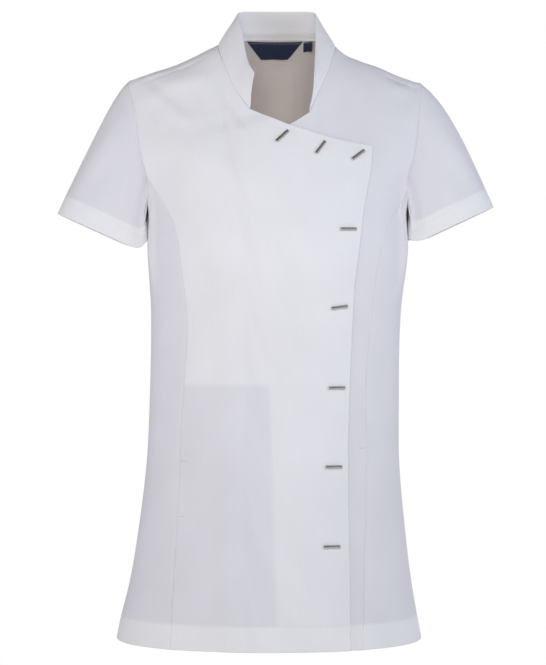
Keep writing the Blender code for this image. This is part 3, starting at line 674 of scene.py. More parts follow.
def panelShell(grid, sewn, lift=None, mouth=None):
    for side in ("top", "left", "right"):
        grid = refined(grid, side)
    turn, drop = grid[..., 0], grid[..., 1]
    normal, outer = bodyNormal(turn, drop), bodyPoint(turn, drop)
    if lift is not None:
        outer = outer + normal * lift(outer[..., 0], outer[..., 2])[..., None]
    across, down = arcs(outer, 1), arcs(outer, 0)
    x, z = outer[..., 0], outer[..., 2]
    # The fronts' top edges are folded, not sewn, between the ends of the collar.
    ends = column(collarForm["table"], "x")
    folded = (drop[0] < 0) & (x[0] > ends[0]) & (x[0] < ends[-1])
    away = dict(left=across, right=across[:, -1:] - across, top=down + farAway * folded)
    fromSeam = np.min([away[side] for side in sewn], axis=0)
    aboveHem = down[-1:] - down
    atArmhole = ease((np.abs(x) - cloth["armholeFrom"]) / cloth["armholeEase"])
    atArmhole = atArmhole * ease((z - body["underarm"]) / cloth["armholeEase"] + 1)
    sink = cloth["seamSink"] + (cloth["armholeSink"] - cloth["seamSink"]) * atArmhole
    sink *= bell(fromSeam, cloth["seamRoll"])
    if mouth:
        gaping = bell(away[mouth["side"]], pockets["reach"])
        sink = sink - pockets["stand"] * pocketMouth(z, mouth["heights"]) * gaping
    sink += cloth["hemGroove"] * bell(aboveHem - cloth["hemBand"], cloth["grooveWidth"])
    ridge = cloth["armholeRidge"] * bell(fromSeam - cloth["ridgeAt"], cloth["ridgeWidth"])
    crease = foldRelief(cloth["creases"], np.sign(drop), x, z, ends=2)
    crease *= ease(fromSeam / cloth["creaseEase"])
    outer = outer + normal * (crease + ridge * atArmhole - sink)[..., None]
    pairs = dict(top=(0, 3), left=((slice(None), 0), (slice(None), 3)),
                 right=((slice(None), -1), (slice(None), -4)))
    for side in sewn:
        edge, inner = pairs[side]
        outer[edge] = outer[edge] + unit(outer[inner] - outer[edge]) * cloth["seamGap"]
    wall = cloth["wall"] - np.maximum(sink, 0) * cloth["sinkWall"]
    wall = wall + cloth["allowanceWall"] * ease((cloth["allowance"] + 1 - fromSeam) / 2)
    wall = wall + cloth["hemWall"] * ease((cloth["hemBand"] + 1 - aboveHem) / 2)
    middle = across - across[:, across.shape[1] // 2][:, None]
    return dict(outer=outer, inner=outer - normal * wall[..., None], uv=(middle, down),
                pastHem=aboveHem - cloth["hemBand"], second=-farAway, sewn=sewn, closed=False)


# Meshes.
def rim(outer, inner, away, bow):  # the line of points that rounds a wall's edge
    wall = np.linalg.norm(outer - inner, axis=-1, keepdims=True)
    return (outer + inner) / 2 + unit(away) * wall * bow


def shellMesh(name, shell):
    outer, inner, closed = shell["outer"], shell["inner"], shell["closed"]
    rows, columns = outer.shape[:2]
    index = np.arange(rows * columns).reshape(rows, columns)
    layers = [outer.reshape(-1, 3), inner.reshape(-1, 3)]
    facts = {key: [np.broadcast_to(shell[key], index.shape).ravel()] * 2
             for key in ("pastHem", "second")}
    # how much of the painted inside shade each wall takes: none on the outer wall, and on the inner
    # wall as the shell says
    facts["inside"] = [np.zeros(index.size), np.full(index.size, shell.get("insideShade", 1.0))]
    facts["u"], facts["v"] = ([np.ravel(line)] * 2 for line in shell["uv"])

    here, right = index, np.roll(index, -1, axis=1)
    if not closed:
        here, right = here[:, :-1], right[:, :-1]
    quads = np.stack([here[:-1], here[1:], right[1:], right[:-1]], axis=-1).reshape(-1, 4)
    faces = [quads, quads[:, ::-1] + index.size]
    edges = [("top", index[0], outer[0] - outer[2]), ("foot", index[-1], outer[-1] - outer[-3])]
    if not closed:
        edges += [("left", index[:, 0], outer[:, 0] - outer[:, 2]),
                  ("right", index[:, -1], outer[:, -1] - outer[:, -3])]
    count, corners = 2 * index.size, {}
    for side, line, away in edges:
        bow = cloth["sewnRim" if side in shell["sewn"] else "foldRim"]
        own = count + np.arange(len(line))
        if not closed:
            for end in (0, -1):  # a corner's rounding point is shared by both edges
                own[end] = corners.setdefault(int(line[end]), own[end])
        layers.append(rim(layers[0][line], layers[1][line], away, bow))
        for values in facts.values():
            values.append(values[0][line])
        count += len(line)
        near = np.stack([line, own, line + index.size])
        far = np.roll(near, -1, axis=1)
        if not closed:
            near, far = near[:, :-1], far[:, :-1]
        faces += [np.stack([near[k], far[k], far[k + 1], near[k + 1]], axis=-1) for k in (0, 1)]
    mesh = bpy.data.meshes.new(name)
    mesh.from_pydata((np.concatenate(layers) * mm).tolist(), [], np.concatenate(faces).tolist())
    for key in ("pastHem", "second", "inside"):
        attribute = mesh.attributes.new(key, "FLOAT", "POINT")
        attribute.data.foreach_set("value", np.concatenate(facts[key]).astype(np.float32))
    corner = np.empty(len(mesh.loops), np.int32)
    mesh.loops.foreach_get("vertex_index", corner)
    uv = np.stack([np.concatenate(facts["u"]), np.concatenate(facts["v"])], axis=-1) * mm
    layer = mesh.uv_layers.new(name="weave")
    layer.data.foreach_set("uv", uv[corner].astype(np.float32).ravel())
    shaped = bmesh.new()
    shaped.from_mesh(mesh)
    loose = [vertex for vertex in shaped.verts if not vertex.link_faces]
    bmesh.ops.delete(shaped, geom=loose, context="VERTS")
    bmesh.ops.recalc_face_normals(shaped, faces=shaped.faces)
    shaped.to_mesh(mesh)
    shaped.free()
    return mesh


def meshObject(name, mesh, material):
    mesh.materials.clear()
    mesh.materials.append(material)
    mesh.shade_smooth()
    made = bpy.data.objects.new(name, mesh)
    bpy.context.scene.collection.objects.link(made)
    return made


def finishPiece(piece, slotName, *nodes):
    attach(piece, "root")
    if nodes:
        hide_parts(*nodes)


def clothPiece(name, shell, material, slotName, node):
    piece = meshObject(name, shellMesh(name, shell), material)
    finishPiece(piece, slotName, node)
    across, down = shell["uv"]
    width, length = np.ptp(across), down.max()
    if shell["closed"]:
        closing = np.linalg.norm(shell["outer"][:, 0] - shell["outer"][:, -1], axis=-1)
        width = (across[:, -1] + closing).max()
    area = sum(polygon.area for polygon in piece.data.polygons) / 2
    area = min(area, width * mm * length * mm)
    print(f"tunic: {name}, {len(piece.data.polygons)} faces")


def hemLine(shell, pastHem, sewnBelow=2.0):  # where the hem is stitched, and the way out of it
    row = int(np.argmin(np.abs(pastHem + sewnBelow)))
    outer, inner = shell["outer"][row], shell["inner"][row]
    if shell["closed"]:
        outer, inner = (np.concatenate([line, line[:1]]) for line in (outer, inner))
    return outer, outer - inner


# Materials. Colours are sRGB hex.
def linear(hexColour):
    parts = [int(hexColour[k:k + 2], 16) / 255 for k in (1, 3, 5)]
    return [c / 12.92 if c <= 0.04045 else ((c + 0.055) / 1.055) ** 2.4 for c in parts] + [1.0]


def setInputs(tree, node, inputs):  # to values, or to the nodes or sockets that feed them
    for socket, value in inputs.items():
        if isinstance(value, bpy.types.Node):
            value = value.outputs[0]
        if isinstance(value, bpy.types.NodeSocket):
            tree.links.new(value, node.inputs[socket])
        else:
            node.inputs[socket].default_value = value


def addNode(tree, kind, inputs=None, **settings):
    node = tree.nodes.new(kind)
    for name, value in settings.items():
        setattr(node, name, value)
    setInputs(tree, node, inputs or {})
    return node


def newMaterial(name):
    material = bpy.data.materials.new(name)
    material.use_nodes = True
    tree = material.node_tree
    return material, tree, tree.nodes["Principled BSDF"]


waveTurn = math.pi / 10        # a wave texture of this scale repeats once a metre
mixOne, mixOther, mixResult = 6, 7, 2   # sockets of a Mix node for colours
noiseLow, noiseHigh = 0.3, 0.7          # a noise texture mostly stays between these

twill = dict(
    single="#E4E2E9",          # one layer, with the dim inside behind it
    folded="#EFEEF2",          # the layers of a hem, which look whiter
    double=0.7,                # two layers: this share of the way from one to the other
    insideShade="#DFD9D8",          # the side turned in, in painted shade: darker and warmer than the outside, as if dim and lit through the cloth
    hemEase=1.5,               # the hem turns whiter over this much on each side of its line,
    doubleEase=4.5,            # and the double part over this much
    threadSpacing=1.3,         # really about 0.5 mm, drawn coarser so that it shows
    threadAngle=58.0,
    slub=26.0,                 # length of the thicker stretches of a thread
    slubStretch=9.0,
    slubTone=(0.99, 1.006),
    mottle=70.0,               # width of the soft, uneven patches of pressed cloth
    mottleTone=(0.975, 1.015),
    bump=0.05,
    roughness=0.82,
    sheen=0.12,
)


def twillMaterial():  # matt woven polyester: soft white, no gloss, fine diagonal ribs
    material, tree, shader = newMaterial("wovenPolyesterTwill")
    uv = addNode(tree, "ShaderNodeUVMap", uv_map="weave").outputs["UV"]
    turned = addNode(tree, "ShaderNodeMapping", {
        "Vector": uv, "Rotation": (0, 0, math.radians(twill["threadAngle"])),
    })
    ribs = addNode(tree, "ShaderNodeTexWave", {
        "Vector": turned, "Scale": waveTurn / (twill["threadSpacing"] * mm),
        "Distortion": 0.6, "Detail": 1.0,
    }, wave_type="BANDS", bands_direction="X")
    stretched = addNode(tree, "ShaderNodeMapping", {
        "Vector": uv, "Scale": (twill["slubStretch"], 1, 1),
    })
    slubs = addNode(tree, "ShaderNodeTexNoise", {
        "Vector": stretched, "Scale": 1 / (twill["slub"] * mm), "Detail": 3.0,
    })
    patches = addNode(tree, "ShaderNodeTexNoise", {
        "Vector": uv, "Scale": 1 / (twill["mottle"] * mm), "Detail": 2.0, "Roughness": 0.4,
    })
    hem, under, inside = (addNode(tree, "ShaderNodeAttribute", attribute_name=name).outputs["Fac"]
                          for name in ("pastHem", "second", "inside"))
    band = addNode(tree, "ShaderNodeMapRange", {
        "Value": hem, "From Min": twill["hemEase"], "From Max": -twill["hemEase"],
    }, interpolation_type="SMOOTHSTEP")
    lap = addNode(tree, "ShaderNodeMapRange", {
        "Value": under, "From Min": -twill["doubleEase"], "From Max": twill["doubleEase"],
        "To Max": twill["double"],
    }, interpolation_type="SMOOTHSTEP")
    doubled = addNode(tree, "ShaderNodeMath", {0: band, 1: lap}, operation="MAXIMUM")
    outside = addNode(tree, "ShaderNodeMix", {
        0: doubled, mixOne: linear(twill["single"]), mixOther: linear(twill["folded"]),
    }, data_type="RGBA")
    # Painted shade: the inner side takes a darker, warmer copy of the cloth's colour.
    withInsideShade = addNode(tree, "ShaderNodeMix", {
        0: inside, mixOne: outside.outputs[mixResult], mixOther: linear(twill["insideShade"]),
    }, data_type="RGBA")
    tones = [addNode(tree, "ShaderNodeMapRange", {
        "Value": noise, "From Min": noiseLow, "From Max": noiseHigh, "To Min": low, "To Max": high,
    }) for noise, (low, high) in ((patches, twill["mottleTone"]), (slubs, twill["slubTone"]))]
    tone = addNode(tree, "ShaderNodeMath", {0: tones[0], 1: tones[1]}, operation="MULTIPLY")
    colour = addNode(tree, "ShaderNodeVectorMath", {0: withInsideShade.outputs[mixResult], "Scale": tone},
                     operation="SCALE")
    height = addNode(tree, "ShaderNodeMath", {0: ribs.outputs["Fac"], 1: slubs}, operation="ADD")
    bump = addNode(tree, "ShaderNodeBump", {
        "Height": height, "Strength": 0.5, "Distance": twill["bump"] * mm,
    })
    setInputs(tree, shader, {
        "Base Color": colour, "Normal": bump, "Roughness": twill["roughness"],
        "Specular IOR Level": 0.25, "Sheen Weight": twill["sheen"], "Sheen Roughness": 0.5,
    })
    return material


labelCloth = dict(colour="#16213A", threads="#26345A", spacing=0.9, bump=0.06, roughness=0.62)


def labelMaterial():  # navy damask ribbon: close threads across, a faint satin gleam
    material, tree, shader = newMaterial("damaskRibbon")
    uv = addNode(tree, "ShaderNodeUVMap", uv_map="weave").outputs["UV"]
    turned = addNode(tree, "ShaderNodeMapping", {"Vector": uv, "Rotation": (0, 0, math.pi / 2)})
    rows = addNode(tree, "ShaderNodeTexWave", {
        "Vector": turned, "Scale": waveTurn / (labelCloth["spacing"] * mm), "Distortion": 0.3,
    }, wave_type="BANDS", bands_direction="X").outputs["Fac"]
    colour = addNode(tree, "ShaderNodeMix", {
        0: rows, mixOne: linear(labelCloth["colour"]), mixOther: linear(labelCloth["threads"]),
    }, data_type="RGBA")
    bump = addNode(tree, "ShaderNodeBump", {
        "Height": rows, "Strength": 0.6, "Distance": labelCloth["bump"] * mm,
    })
    setInputs(tree, shader, {
        "Base Color": colour.outputs[mixResult], "Normal": bump,
        "Roughness": labelCloth["roughness"], "Sheen Weight": 0.1,
    })
    return material


steelFinish = dict(colour="#C9C8C6", scratch=2.2, bump=0.006, low=0.12, high=0.24)


def steelMaterial():  # polished stainless steel: mirror-like, with hairlines along the bar
    material, tree, shader = newMaterial("polishedSteel")
    place = addNode(tree, "ShaderNodeTexCoord").outputs["Object"]
    hairlines = addNode(tree, "ShaderNodeTexNoise", {
        "Vector": place, "Scale": 1 / (steelFinish["scratch"] * mm), "Detail": 4.0,
    })
    rough = addNode(tree, "ShaderNodeMapRange", {
        "Value": hairlines, "From Min": noiseLow, "From Max": noiseHigh,
        "To Min": steelFinish["low"], "To Max": steelFinish["high"],
    })
    bump = addNode(tree, "ShaderNodeBump", {
        "Height": hairlines, "Strength": 0.4, "Distance": steelFinish["bump"] * mm,
    })
    setInputs(tree, shader, {
        "Base Color": linear(steelFinish["colour"]), "Metallic": 1.0, "Roughness": rough,
        "Normal": bump,
    })
    return material


sewingThread = dict(shade="#D2D3D8", light="#EEEFF2", ply=0.8, roughness=0.7)


def threadMaterial():  # spun polyester sewing thread: matt, a shade brighter than the cloth
    material, tree, shader = newMaterial("spunThread")
    place = addNode(tree, "ShaderNodeTexCoord").outputs["Object"]
    ply = addNode(tree, "ShaderNodeTexNoise", {
        "Vector": place, "Scale": 1 / (sewingThread["ply"] * mm),
    })
    colour = addNode(tree, "ShaderNodeMix", {
        0: ply, mixOne: linear(sewingThread["shade"]), mixOther: linear(sewingThread["light"]),
    }, data_type="RGBA")
    setInputs(tree, shader, {
        "Base Color": colour.outputs[mixResult], "Roughness": sewingThread["roughness"],
    })
    return material


twillCloth, ribbon = twillMaterial(), labelMaterial()
steel, thread = steelMaterial(), threadMaterial()
print("tunic: materials made")


# Panels of the body. The right front looks whiter where it lies double: over all of the
# chest, and below that only over the underlap.
double = dict(
    foot=-412.5,
    edge=tableOf("z x", (-728, 0.5), (-682, -0.8), (-550, -5), (-430, -8.4), (-400, -9)),
)


def insideDouble(points):  # how far a point lies within the double part
    x, z = points[..., 0], points[..., 2]
    return np.maximum(x - smooth(double["edge"], "x", z), z - double["foot"])


# The grid of each panel, its sewn sides and its node.
panels = dict(
    frontRight=(frontRightGrid(), ("left", "top"), "front_right"),
    frontLeft=(frontLeftGrid(), ("right", "top"), "front_left"),
    frontRightSide=(frontSideGrid("right"), ("left", "right"), "front_right_side"),
    frontLeftSide=(frontSideGrid("left"), ("left", "right"), "front_left_side"),
    backCentre=(backCentreGrid(), ("left", "right", "top"), "back_centre"),
    backRight=(backSideGrid("right"), ("left", "right", "top"), "back_right"),
    backLeft=(backSideGrid("left"), ("left", "right", "top"), "back_left"),
)
hemLines = []
for name, (grid, sewn, node) in panels.items():
    lift = overlapLift if name == "frontRight" else None
    shell = panelShell(grid, sewn, lift, pockets["mouths"].get(name))
    if name == "frontRight":
        shell["second"] = insideDouble(shell["outer"])
    clothPiece(name, shell, twillCloth, "cloth", node)
    hemLines.append(hemLine(shell, shell["pastHem"][:, 0]))


# Collar: a stand of two layers, open in front.
def collarShell():
    form = collarForm
    stops = [form[name] for name in ("rightEnd", "rightShoulder", "rightBack", "leftBack",
                                     "leftShoulder", "leftEnd")]
    runs = [neckRun(start, end, form["runParts"]) for start, end in zip(stops, stops[1:])]
    seam, top = (joined(*[run[k] for run in runs]) for k in (0, 1))
    base = bodyPoint(seam[:, 0], seam[:, 1])
    base = base + unit(top - base) * form["gap"]
    height = np.linalg.norm(top - base, axis=-1)
    even = np.linspace(*form["evenRows"], form["rows"])
    share = np.concatenate([form["footRows"], even, form["topRows"]])[:, None, None]
    outer = base[None] * (1 - share) + top[None] * share
    normal = unit(np.cross(top - base, np.gradient(outer, axis=1)))
    fromSeam = share[..., 0] * height
    sink = cloth["seamSink"] * bell(fromSeam, cloth["seamRoll"])
    swell = form["bulge"] * np.sin(math.pi * share[..., 0])
    outer = outer + normal * (swell - sink)[..., None]
    wall = form["wall"] + form["padding"] * bell(fromSeam - form["paddingAt"], form["paddingWidth"])
    inner = outer - normal * wall[..., None]
    # The collar's inner side keeps the outside's colour, without the painted shade.
    return dict(outer=outer[::-1], inner=inner[::-1], uv=(arcs(outer, 1)[::-1], arcs(outer, 0)[::-1]),
                pastHem=farAway, second=farAway, sewn=("foot",), insideShade=0.0, closed=False)


clothPiece("collar", collarShell(), twillCloth, "cloth", "collar")


# Sleeves: set in, with a turned hem.
sleeves = dict(
    seamRows=(0, 0.004, 0.012),                # rows, as shares of the length,
    rows=58,                   # even ones from this share of it
    evenFrom=0.03,             # to this many hem widths from the end,
    evenTo=1.15,
    hemRows=(1.06, 1.02, 0.98, 0.94, 0.8, 0.6, 0.4, 0.2, 0.06, 0.02, 0),       # and the last
    seamGap=0.02,
    clearance=0.03,            # the underside starts this far outside the armhole
    hemPower=2.5,              # of the superellipse that the hem follows
    hug=0.86,                  # how closely it follows the side of the body
    hugMost=9.0,
    # Where the hug and the rise of the hem begin, as cosines of the angle from the body, and
    # the difference over which they grow.
    hugFrom=(0.25, 0.6),
    riseFrom=(0.45, 0.5),
    capLeave=(0.80, -0.60),    # the way the cloth leaves the armhole: out and up
    underarmLeave=(0.05, -1.0),
    sideLeave=0.35,
    underarmCarry=0.9,
    hemCarry=0.95,
    hemBand=24.0,
    # The rise, power and reach shape the quarter of the hem nearest the chest.
    right=dict(x=218.4, z=-225.5, halfWidth=60.5, halfDepth=52.0, tilt=24.3, cap=0.45,
               rise=16.0, frontPower=6.0, reach=2.0),
    left=dict(x=217.3, z=-217.0, halfWidth=58.2, halfDepth=52.0, tilt=25.0, cap=0.92,
              rise=8.0, frontPower=6.0, reach=0.4),
    # Angle from the outer edge towards the front, share of the length, and the sizes.
    folds=tableOf(
        "round along width length depth",
        (62, 0.55, 16, 0.34, -3.4),
        (100, 0.62, 14, 0.30, 2.4),
        (138, 0.42, 13, 0.26, -1.8),
        (-58, 0.50, 16, 0.34, -3.2),
        (-98, 0.60, 15, 0.30, 2.4),
        (-136, 0.45, 13, 0.26, -3.4),
        (30, 0.40, 9, 0.30, 0.8),
        (80, 0.35, 7, 0.22, -0.9),
        (118, 0.70, 8, 0.20, -1.0),
        (155, 0.60, 9, 0.25, 1.0),
        (-30, 0.45, 9, 0.30, 0.8),
        (-78, 0.35, 8, 0.22, -0.9),
        (-120, 0.66, 8, 0.22, -1.0),
    ),
)


def sleeveRelief(angle, share):
    relief = np.zeros(np.broadcast(angle, share).shape)
    for foldAngle, along, width, length, depth in sleeves["folds"]["rows"]:
        away = (angle - foldAngle + 180) % 360 - 180
        relief += depth * bell(away, width) * bell(share - along, length)
    return relief * np.sin(math.pi * np.clip(share, 0, 1)) ** 0.5


def armholeRing(hand):  # points round the armhole from the crest, and their angles
    frontRun, backRun = joined(*frontArmhole(hand)), backArmhole(hand)[::-1]
    ring = np.concatenate([frontRun, backRun[1:-1]])
    ring = bodyPoint(ring[:, 0], ring[:, 1])
    distance = arcs(np.concatenate([ring, ring[:1]]), 0)
    under = len(frontRun) - 1
    frontShare = distance[: under + 1] / distance[under]
    backShare = (distance[under:-1] - distance[under]) / (distance[-1] - distance[under])
    return ring, math.pi * np.concatenate([frontShare, 1 + backShare[1:]])


def sleeveHem(hand, angle, across):  # its inner part lies along the body and is drawn up
    sign, form = armSign(hand), sleeves[hand]
    cos, sin = np.cos(angle), np.sin(angle)
    inFront = (sin > 0) & (cos < 0)
    power = 2 / np.where(inFront, form["frontPower"], sleeves["hemPower"])[:, None]
    hem = np.array([sign * form["x"], 0, form["z"]])
    hem = hem + form["halfWidth"] * signedPower(cos[:, None], power) * across
    hem = hem + form["halfDepth"] * signedPower(sin[:, None], power) * np.array([0, -1, 0])
    sections, flat = body["sections"], body["sectionPower"]
    depth = np.where(hem[:, 1] < 0, smooth(sections, "front", hem[:, 2]),
                     smooth(sections, "back", hem[:, 2]))
    narrowing = 1 - (1 - np.clip(np.abs(hem[:, 1]) / depth, 0, 1) ** flat) ** (1 / flat)
    hug = narrowing * smooth(sections, "halfWidth", hem[:, 2]) * sleeves["hug"]
    hug = np.minimum(hug, sleeves["hugMost"]) + form["reach"] * inFront * sin
    near, rise = (ease((-cos - start) / over)
                  for start, over in (sleeves["hugFrom"], sleeves["riseFrom"]))
    hem[:, 0] -= sign * near * hug
    hem[:, 2] += form["rise"] * rise
    return hem


def sleeveShell(hand):
    sign, form = armSign(hand), sleeves[hand]
    tilt = math.radians(form["tilt"])
    across = np.array([sign * math.cos(tilt), 0, math.sin(tilt)])
    axis = np.array([sign * math.sin(tilt), 0, -math.cos(tilt)])
    ring, angle = armholeRing(hand)
    hem = sleeveHem(hand, angle, across)
    out = (1 + np.cos(angle)[:, None]) / 2
    capX, capZ = sleeves["capLeave"]
    lowX, lowZ = sleeves["underarmLeave"]
    leave = out * np.array([sign * capX, 0, capZ]) + (1 - out) * np.array([sign * lowX, 0, lowZ])
    leave[:, 1] -= sleeves["sideLeave"] * np.sin(angle)
    arrive = axis * out + (1 - out) * np.array([0, 0, -1.0])
    span = np.linalg.norm(hem - ring, axis=-1, keepdims=True)
    start = ring + leave * sleeves["seamGap"]
    start = start + (1 - out) * np.array([sign * sleeves["clearance"], 0, 0])
    leave = leave * (form["cap"] * out + sleeves["underarmCarry"] * (1 - out))

    band = sleeves["hemBand"] / span.mean()
    even = np.linspace(sleeves["evenFrom"], 1 - band * sleeves["evenTo"], sleeves["rows"])
    last = 1 - band * np.array(sleeves["hemRows"])
    share = np.concatenate([sleeves["seamRows"], even, last])[:, None, None]
    outer = cubic(share, start, leave * span, hem, arrive * span * sleeves["hemCarry"])
    around = np.roll(outer, -1, axis=1) - np.roll(outer, 1, axis=1)
    normal = unit(np.cross(around, np.gradient(outer, axis=0)) * sign)
    relief = sleeveRelief(np.degrees(angle)[None, :], share[:, :, 0])
    down = arcs(outer, 0)
    pastHem = down[-1:] - down - sleeves["hemBand"]
    sink = cloth["armholeSink"] * bell(down, cloth["seamRoll"])
    sink += cloth["hemGroove"] * bell(pastHem, cloth["grooveWidth"])
    outer = outer + normal * (relief - sink)[..., None]
    wall = cloth["wall"] + cloth["hemWall"] * ease((1 - pastHem) / 2)
    return dict(outer=outer, inner=outer - normal * wall[..., None], uv=(arcs(outer, 1), down),
                pastHem=pastHem, second=-farAway, sewn=("top",), closed=True)


for hand in hands:
    shell = sleeveShell(hand)
    clothPiece("sleeve" + hand.capitalize(), shell, twillCloth, "cloth", "sleeve_" + hand)
    hemLines.append(hemLine(shell, shell["pastHem"].mean(axis=1)))


# Labels inside the back of the neck, bare.
labels = dict(
    off=1.95,                  # from the cloth's outer side, past its wall and allowance
    footOff=0.5,               # and this much more at the foot, which is free
    wave=0.5,                  # and waves a little,
    halfWaves=3,               # in this many half waves
    wavePhase=0.6,
    wall=0.6,
    columns=37,
    rows=15,
    pieces=dict(
        neckLabel=dict(left=-38.6, right=33.0, footLeft=-20.7, footRight=14.1, top=21.8, foot=2.0,
                       node="neck_label"),
        sizeLabel=dict(left=34.6, right=45.5, footLeft=34.6, footRight=45.5, top=20.8, foot=10.6,
                       node="size_label"),
    ),
)


def labelShell(label):
    share = np.linspace(0, 1, labels["columns"])[None, :]
    down = np.linspace(0, 1, labels["rows"])[:, None]
    start = label["left"] + (label["footLeft"] - label["left"]) * down
    end = label["right"] + (label["footRight"] - label["right"]) * down
    x = start + (end - start) * share
    z = label["top"] + (label["foot"] - label["top"]) * down + 0 * share
    turn, drop = np.moveaxis(onBody(x, z, back), -1, 0)
    normal = bodyNormal(turn, drop)
    waved = np.sin(math.pi * share * labels["halfWaves"] + labels["wavePhase"])
    waved = labels["wave"] * waved * down
    off = labels["off"] + labels["footOff"] * down + waved
    outer = bodyPoint(turn, drop) - normal * off[..., None]
    return dict(outer=outer, inner=outer - normal * labels["wall"],
                uv=(arcs(outer, 1), arcs(outer, 0)), pastHem=farAway, second=farAway, sewn=(),
                closed=False)


labelLines = []
for name, label in labels["pieces"].items():
    shell = labelShell(label)
    clothPiece(name, shell, ribbon, "label", label["node"])
    inner = shell["inner"]
    labelLines.append((inner[1, 1:-1], (inner - shell["outer"])[1, 1:-1]))


# Bars of the closure: half-round, polished, with eased edges.
bars = dict(
    length=20.5,
    width=4.6,
    height=2.4,
    edge=0.45,
    edgeSegments=4,
    gap=0.3,
    segments=48,
    sharpAngle=40,             # edges sharper than this are eased,
    creaseAngle=50,            # and shaded as creases past this
    table=tableOf(
        "x z turn",
        (5.9, -114.2, 47), (51.4, -128, 55), (96.6, -136, 39), (83.6, -225.8, 3),
        (73.6, -318.2, 4), (70.8, -415.9, 1), (66.8, -510.8, 1), (64.4, -605.7, 1),
    ),
)


def barMesh(name):
    shaped = bmesh.new()
    radius = bars["width"] / 2 * mm
    bmesh.ops.create_cone(
        shaped, cap_ends=True, segments=bars["segments"], radius1=radius, radius2=radius,
        depth=bars["length"] * mm, matrix=Matrix.Rotation(math.pi / 2, 4, "Y"),
    )
    bmesh.ops.scale(shaped, vec=(1, 1, 2 * bars["height"] / bars["width"]), verts=shaped.verts)
    everything = shaped.verts[:] + shaped.edges[:] + shaped.faces[:]
    bmesh.ops.bisect_plane(shaped, geom=everything, plane_co=(0, 0, 0), plane_no=(0, 0, 1),
                           clear_inner=True)
    bmesh.ops.remove_doubles(shaped, verts=shaped.verts, dist=0.001 * mm)
    bmesh.ops.contextual_create(shaped, geom=[edge for edge in shaped.edges if edge.is_boundary])
    sharpest = math.radians(bars["sharpAngle"])
    sharp = [edge for edge in shaped.edges if edge.calc_face_angle(0) > sharpest]
    bmesh.ops.bevel(shaped, geom=sharp, offset=bars["edge"] * mm, segments=bars["edgeSegments"],
                    profile=0.5, affect="EDGES", clamp_overlap=True)
    bmesh.ops.recalc_face_normals(shaped, faces=shaped.faces)
    mesh = bpy.data.meshes.new(name)
    shaped.to_mesh(mesh)
    shaped.free()
    return mesh


for number, (x, z, turn) in enumerate(bars["table"]["rows"], start=1):
    spot = onBody(x, z, front)
    point, normal = bodyPoint(*spot), Vector(bodyNormal(*spot))
    lift = float(overlapLift(point[0], point[2])) + bars["gap"]
    angle = math.radians(turn)
    along = Vector((math.cos(angle), 0, math.sin(angle)))
    along = (along - normal * along.dot(normal)).normalized()
    placed = Matrix((along, normal.cross(along), normal)).transposed().to_4x4()
    mesh = barMesh(f"bar{number}")
    mesh.transform(Matrix.Translation((Vector(point) + normal * lift) * mm) @ placed)
    bar = meshObject(f"bar{number}", mesh, steel)
    mesh.set_sharp_from_angle(angle=math.radians(bars["creaseAngle"]))
    finishPiece(bar, "steel", f"bar_{number}")
print("tunic: bars")


# Sewing: rows of thread stitches, laid along lines by Geometry Nodes.
stitching = dict(
    segments=6,
    rings=4,
    hem=dict(length=2.5, pitch=3.2, thickness=0.42, lift=0.06),
    label=dict(length=1.6, pitch=2.1, thickness=0.35, lift=0.05),
    tack=dict(length=1.4, pitch=0.8, thickness=0.9, lift=0.1),
    tackFrom=0.6,              # the tacks start this far from the seam,
    tackPoints=9,
    tackStand=0.35,            # on cloth that stands out this far
)


def stitchTree(material):
    tree = bpy.data.node_groups.new("stitches", "GeometryNodeTree")
    tree.interface.new_socket("Geometry", in_out="INPUT", socket_type="NodeSocketGeometry")
    for name in ("Length", "Pitch", "Thickness"):
        tree.interface.new_socket(name, in_out="INPUT", socket_type="NodeSocketFloat")
    tree.interface.new_socket("Geometry", in_out="OUTPUT", socket_type="NodeSocketGeometry")
    given = addNode(tree, "NodeGroupInput").outputs
    line = addNode(tree, "GeometryNodeMeshToCurve", {"Mesh": given["Geometry"]})
    spaced = addNode(tree, "GeometryNodeResampleCurve", {
        "Curve": line, "Length": given["Pitch"],
    }, mode="LENGTH")
    tangent = addNode(tree, "GeometryNodeInputTangent")
    turned = addNode(tree, "FunctionNodeAlignRotationToVector", {"Vector": tangent}, axis="Z")
    ball = addNode(tree, "GeometryNodeMeshUVSphere", {
        "Segments": stitching["segments"], "Rings": stitching["rings"], "Radius": 0.5,
    })
    size = addNode(tree, "ShaderNodeCombineXYZ", {
        "X": given["Thickness"], "Y": given["Thickness"], "Z": given["Length"],
    })
    stretched = addNode(tree, "GeometryNodeTransform", {"Geometry": ball, "Scale": size})
    laid = addNode(tree, "GeometryNodeInstanceOnPoints", {
        "Points": spaced, "Instance": stretched, "Rotation": turned,
    })
    real = addNode(tree, "GeometryNodeRealizeInstances", {"Geometry": laid})
    painted = addNode(tree, "GeometryNodeSetMaterial", {"Geometry": real, "Material": material})
    addNode(tree, "NodeGroupOutput", {"Geometry": painted})
    return tree


def addStitches(name, lines, tree, sizes):
    points, edges = [], []
    for line, out in lines:
        start = len(points)
        points += ((line + unit(out) * sizes["lift"]) * mm).tolist()
        edges += [(k, k + 1) for k in range(start, len(points) - 1)]
    guide = bpy.data.meshes.new(name + "Guide")
    guide.from_pydata(points, edges, [])
    carrier = bpy.data.objects.new(name, guide)
    bpy.context.scene.collection.objects.link(carrier)
    modifier = carrier.modifiers.new("stitches", "NODES")
    modifier.node_group = tree
    for item in tree.interface.items_tree:
        if item.in_out == "INPUT" and item.name.lower() in sizes:
            modifier[item.identifier] = sizes[item.name.lower()] * mm
    view = bpy.context.evaluated_depsgraph_get()
    mesh = bpy.data.meshes.new_from_object(carrier.evaluated_get(view))
    carrier.modifiers.remove(modifier)
    bpy.data.objects.remove(carrier)
    finishPiece(meshObject(name, mesh, thread), "cloth")


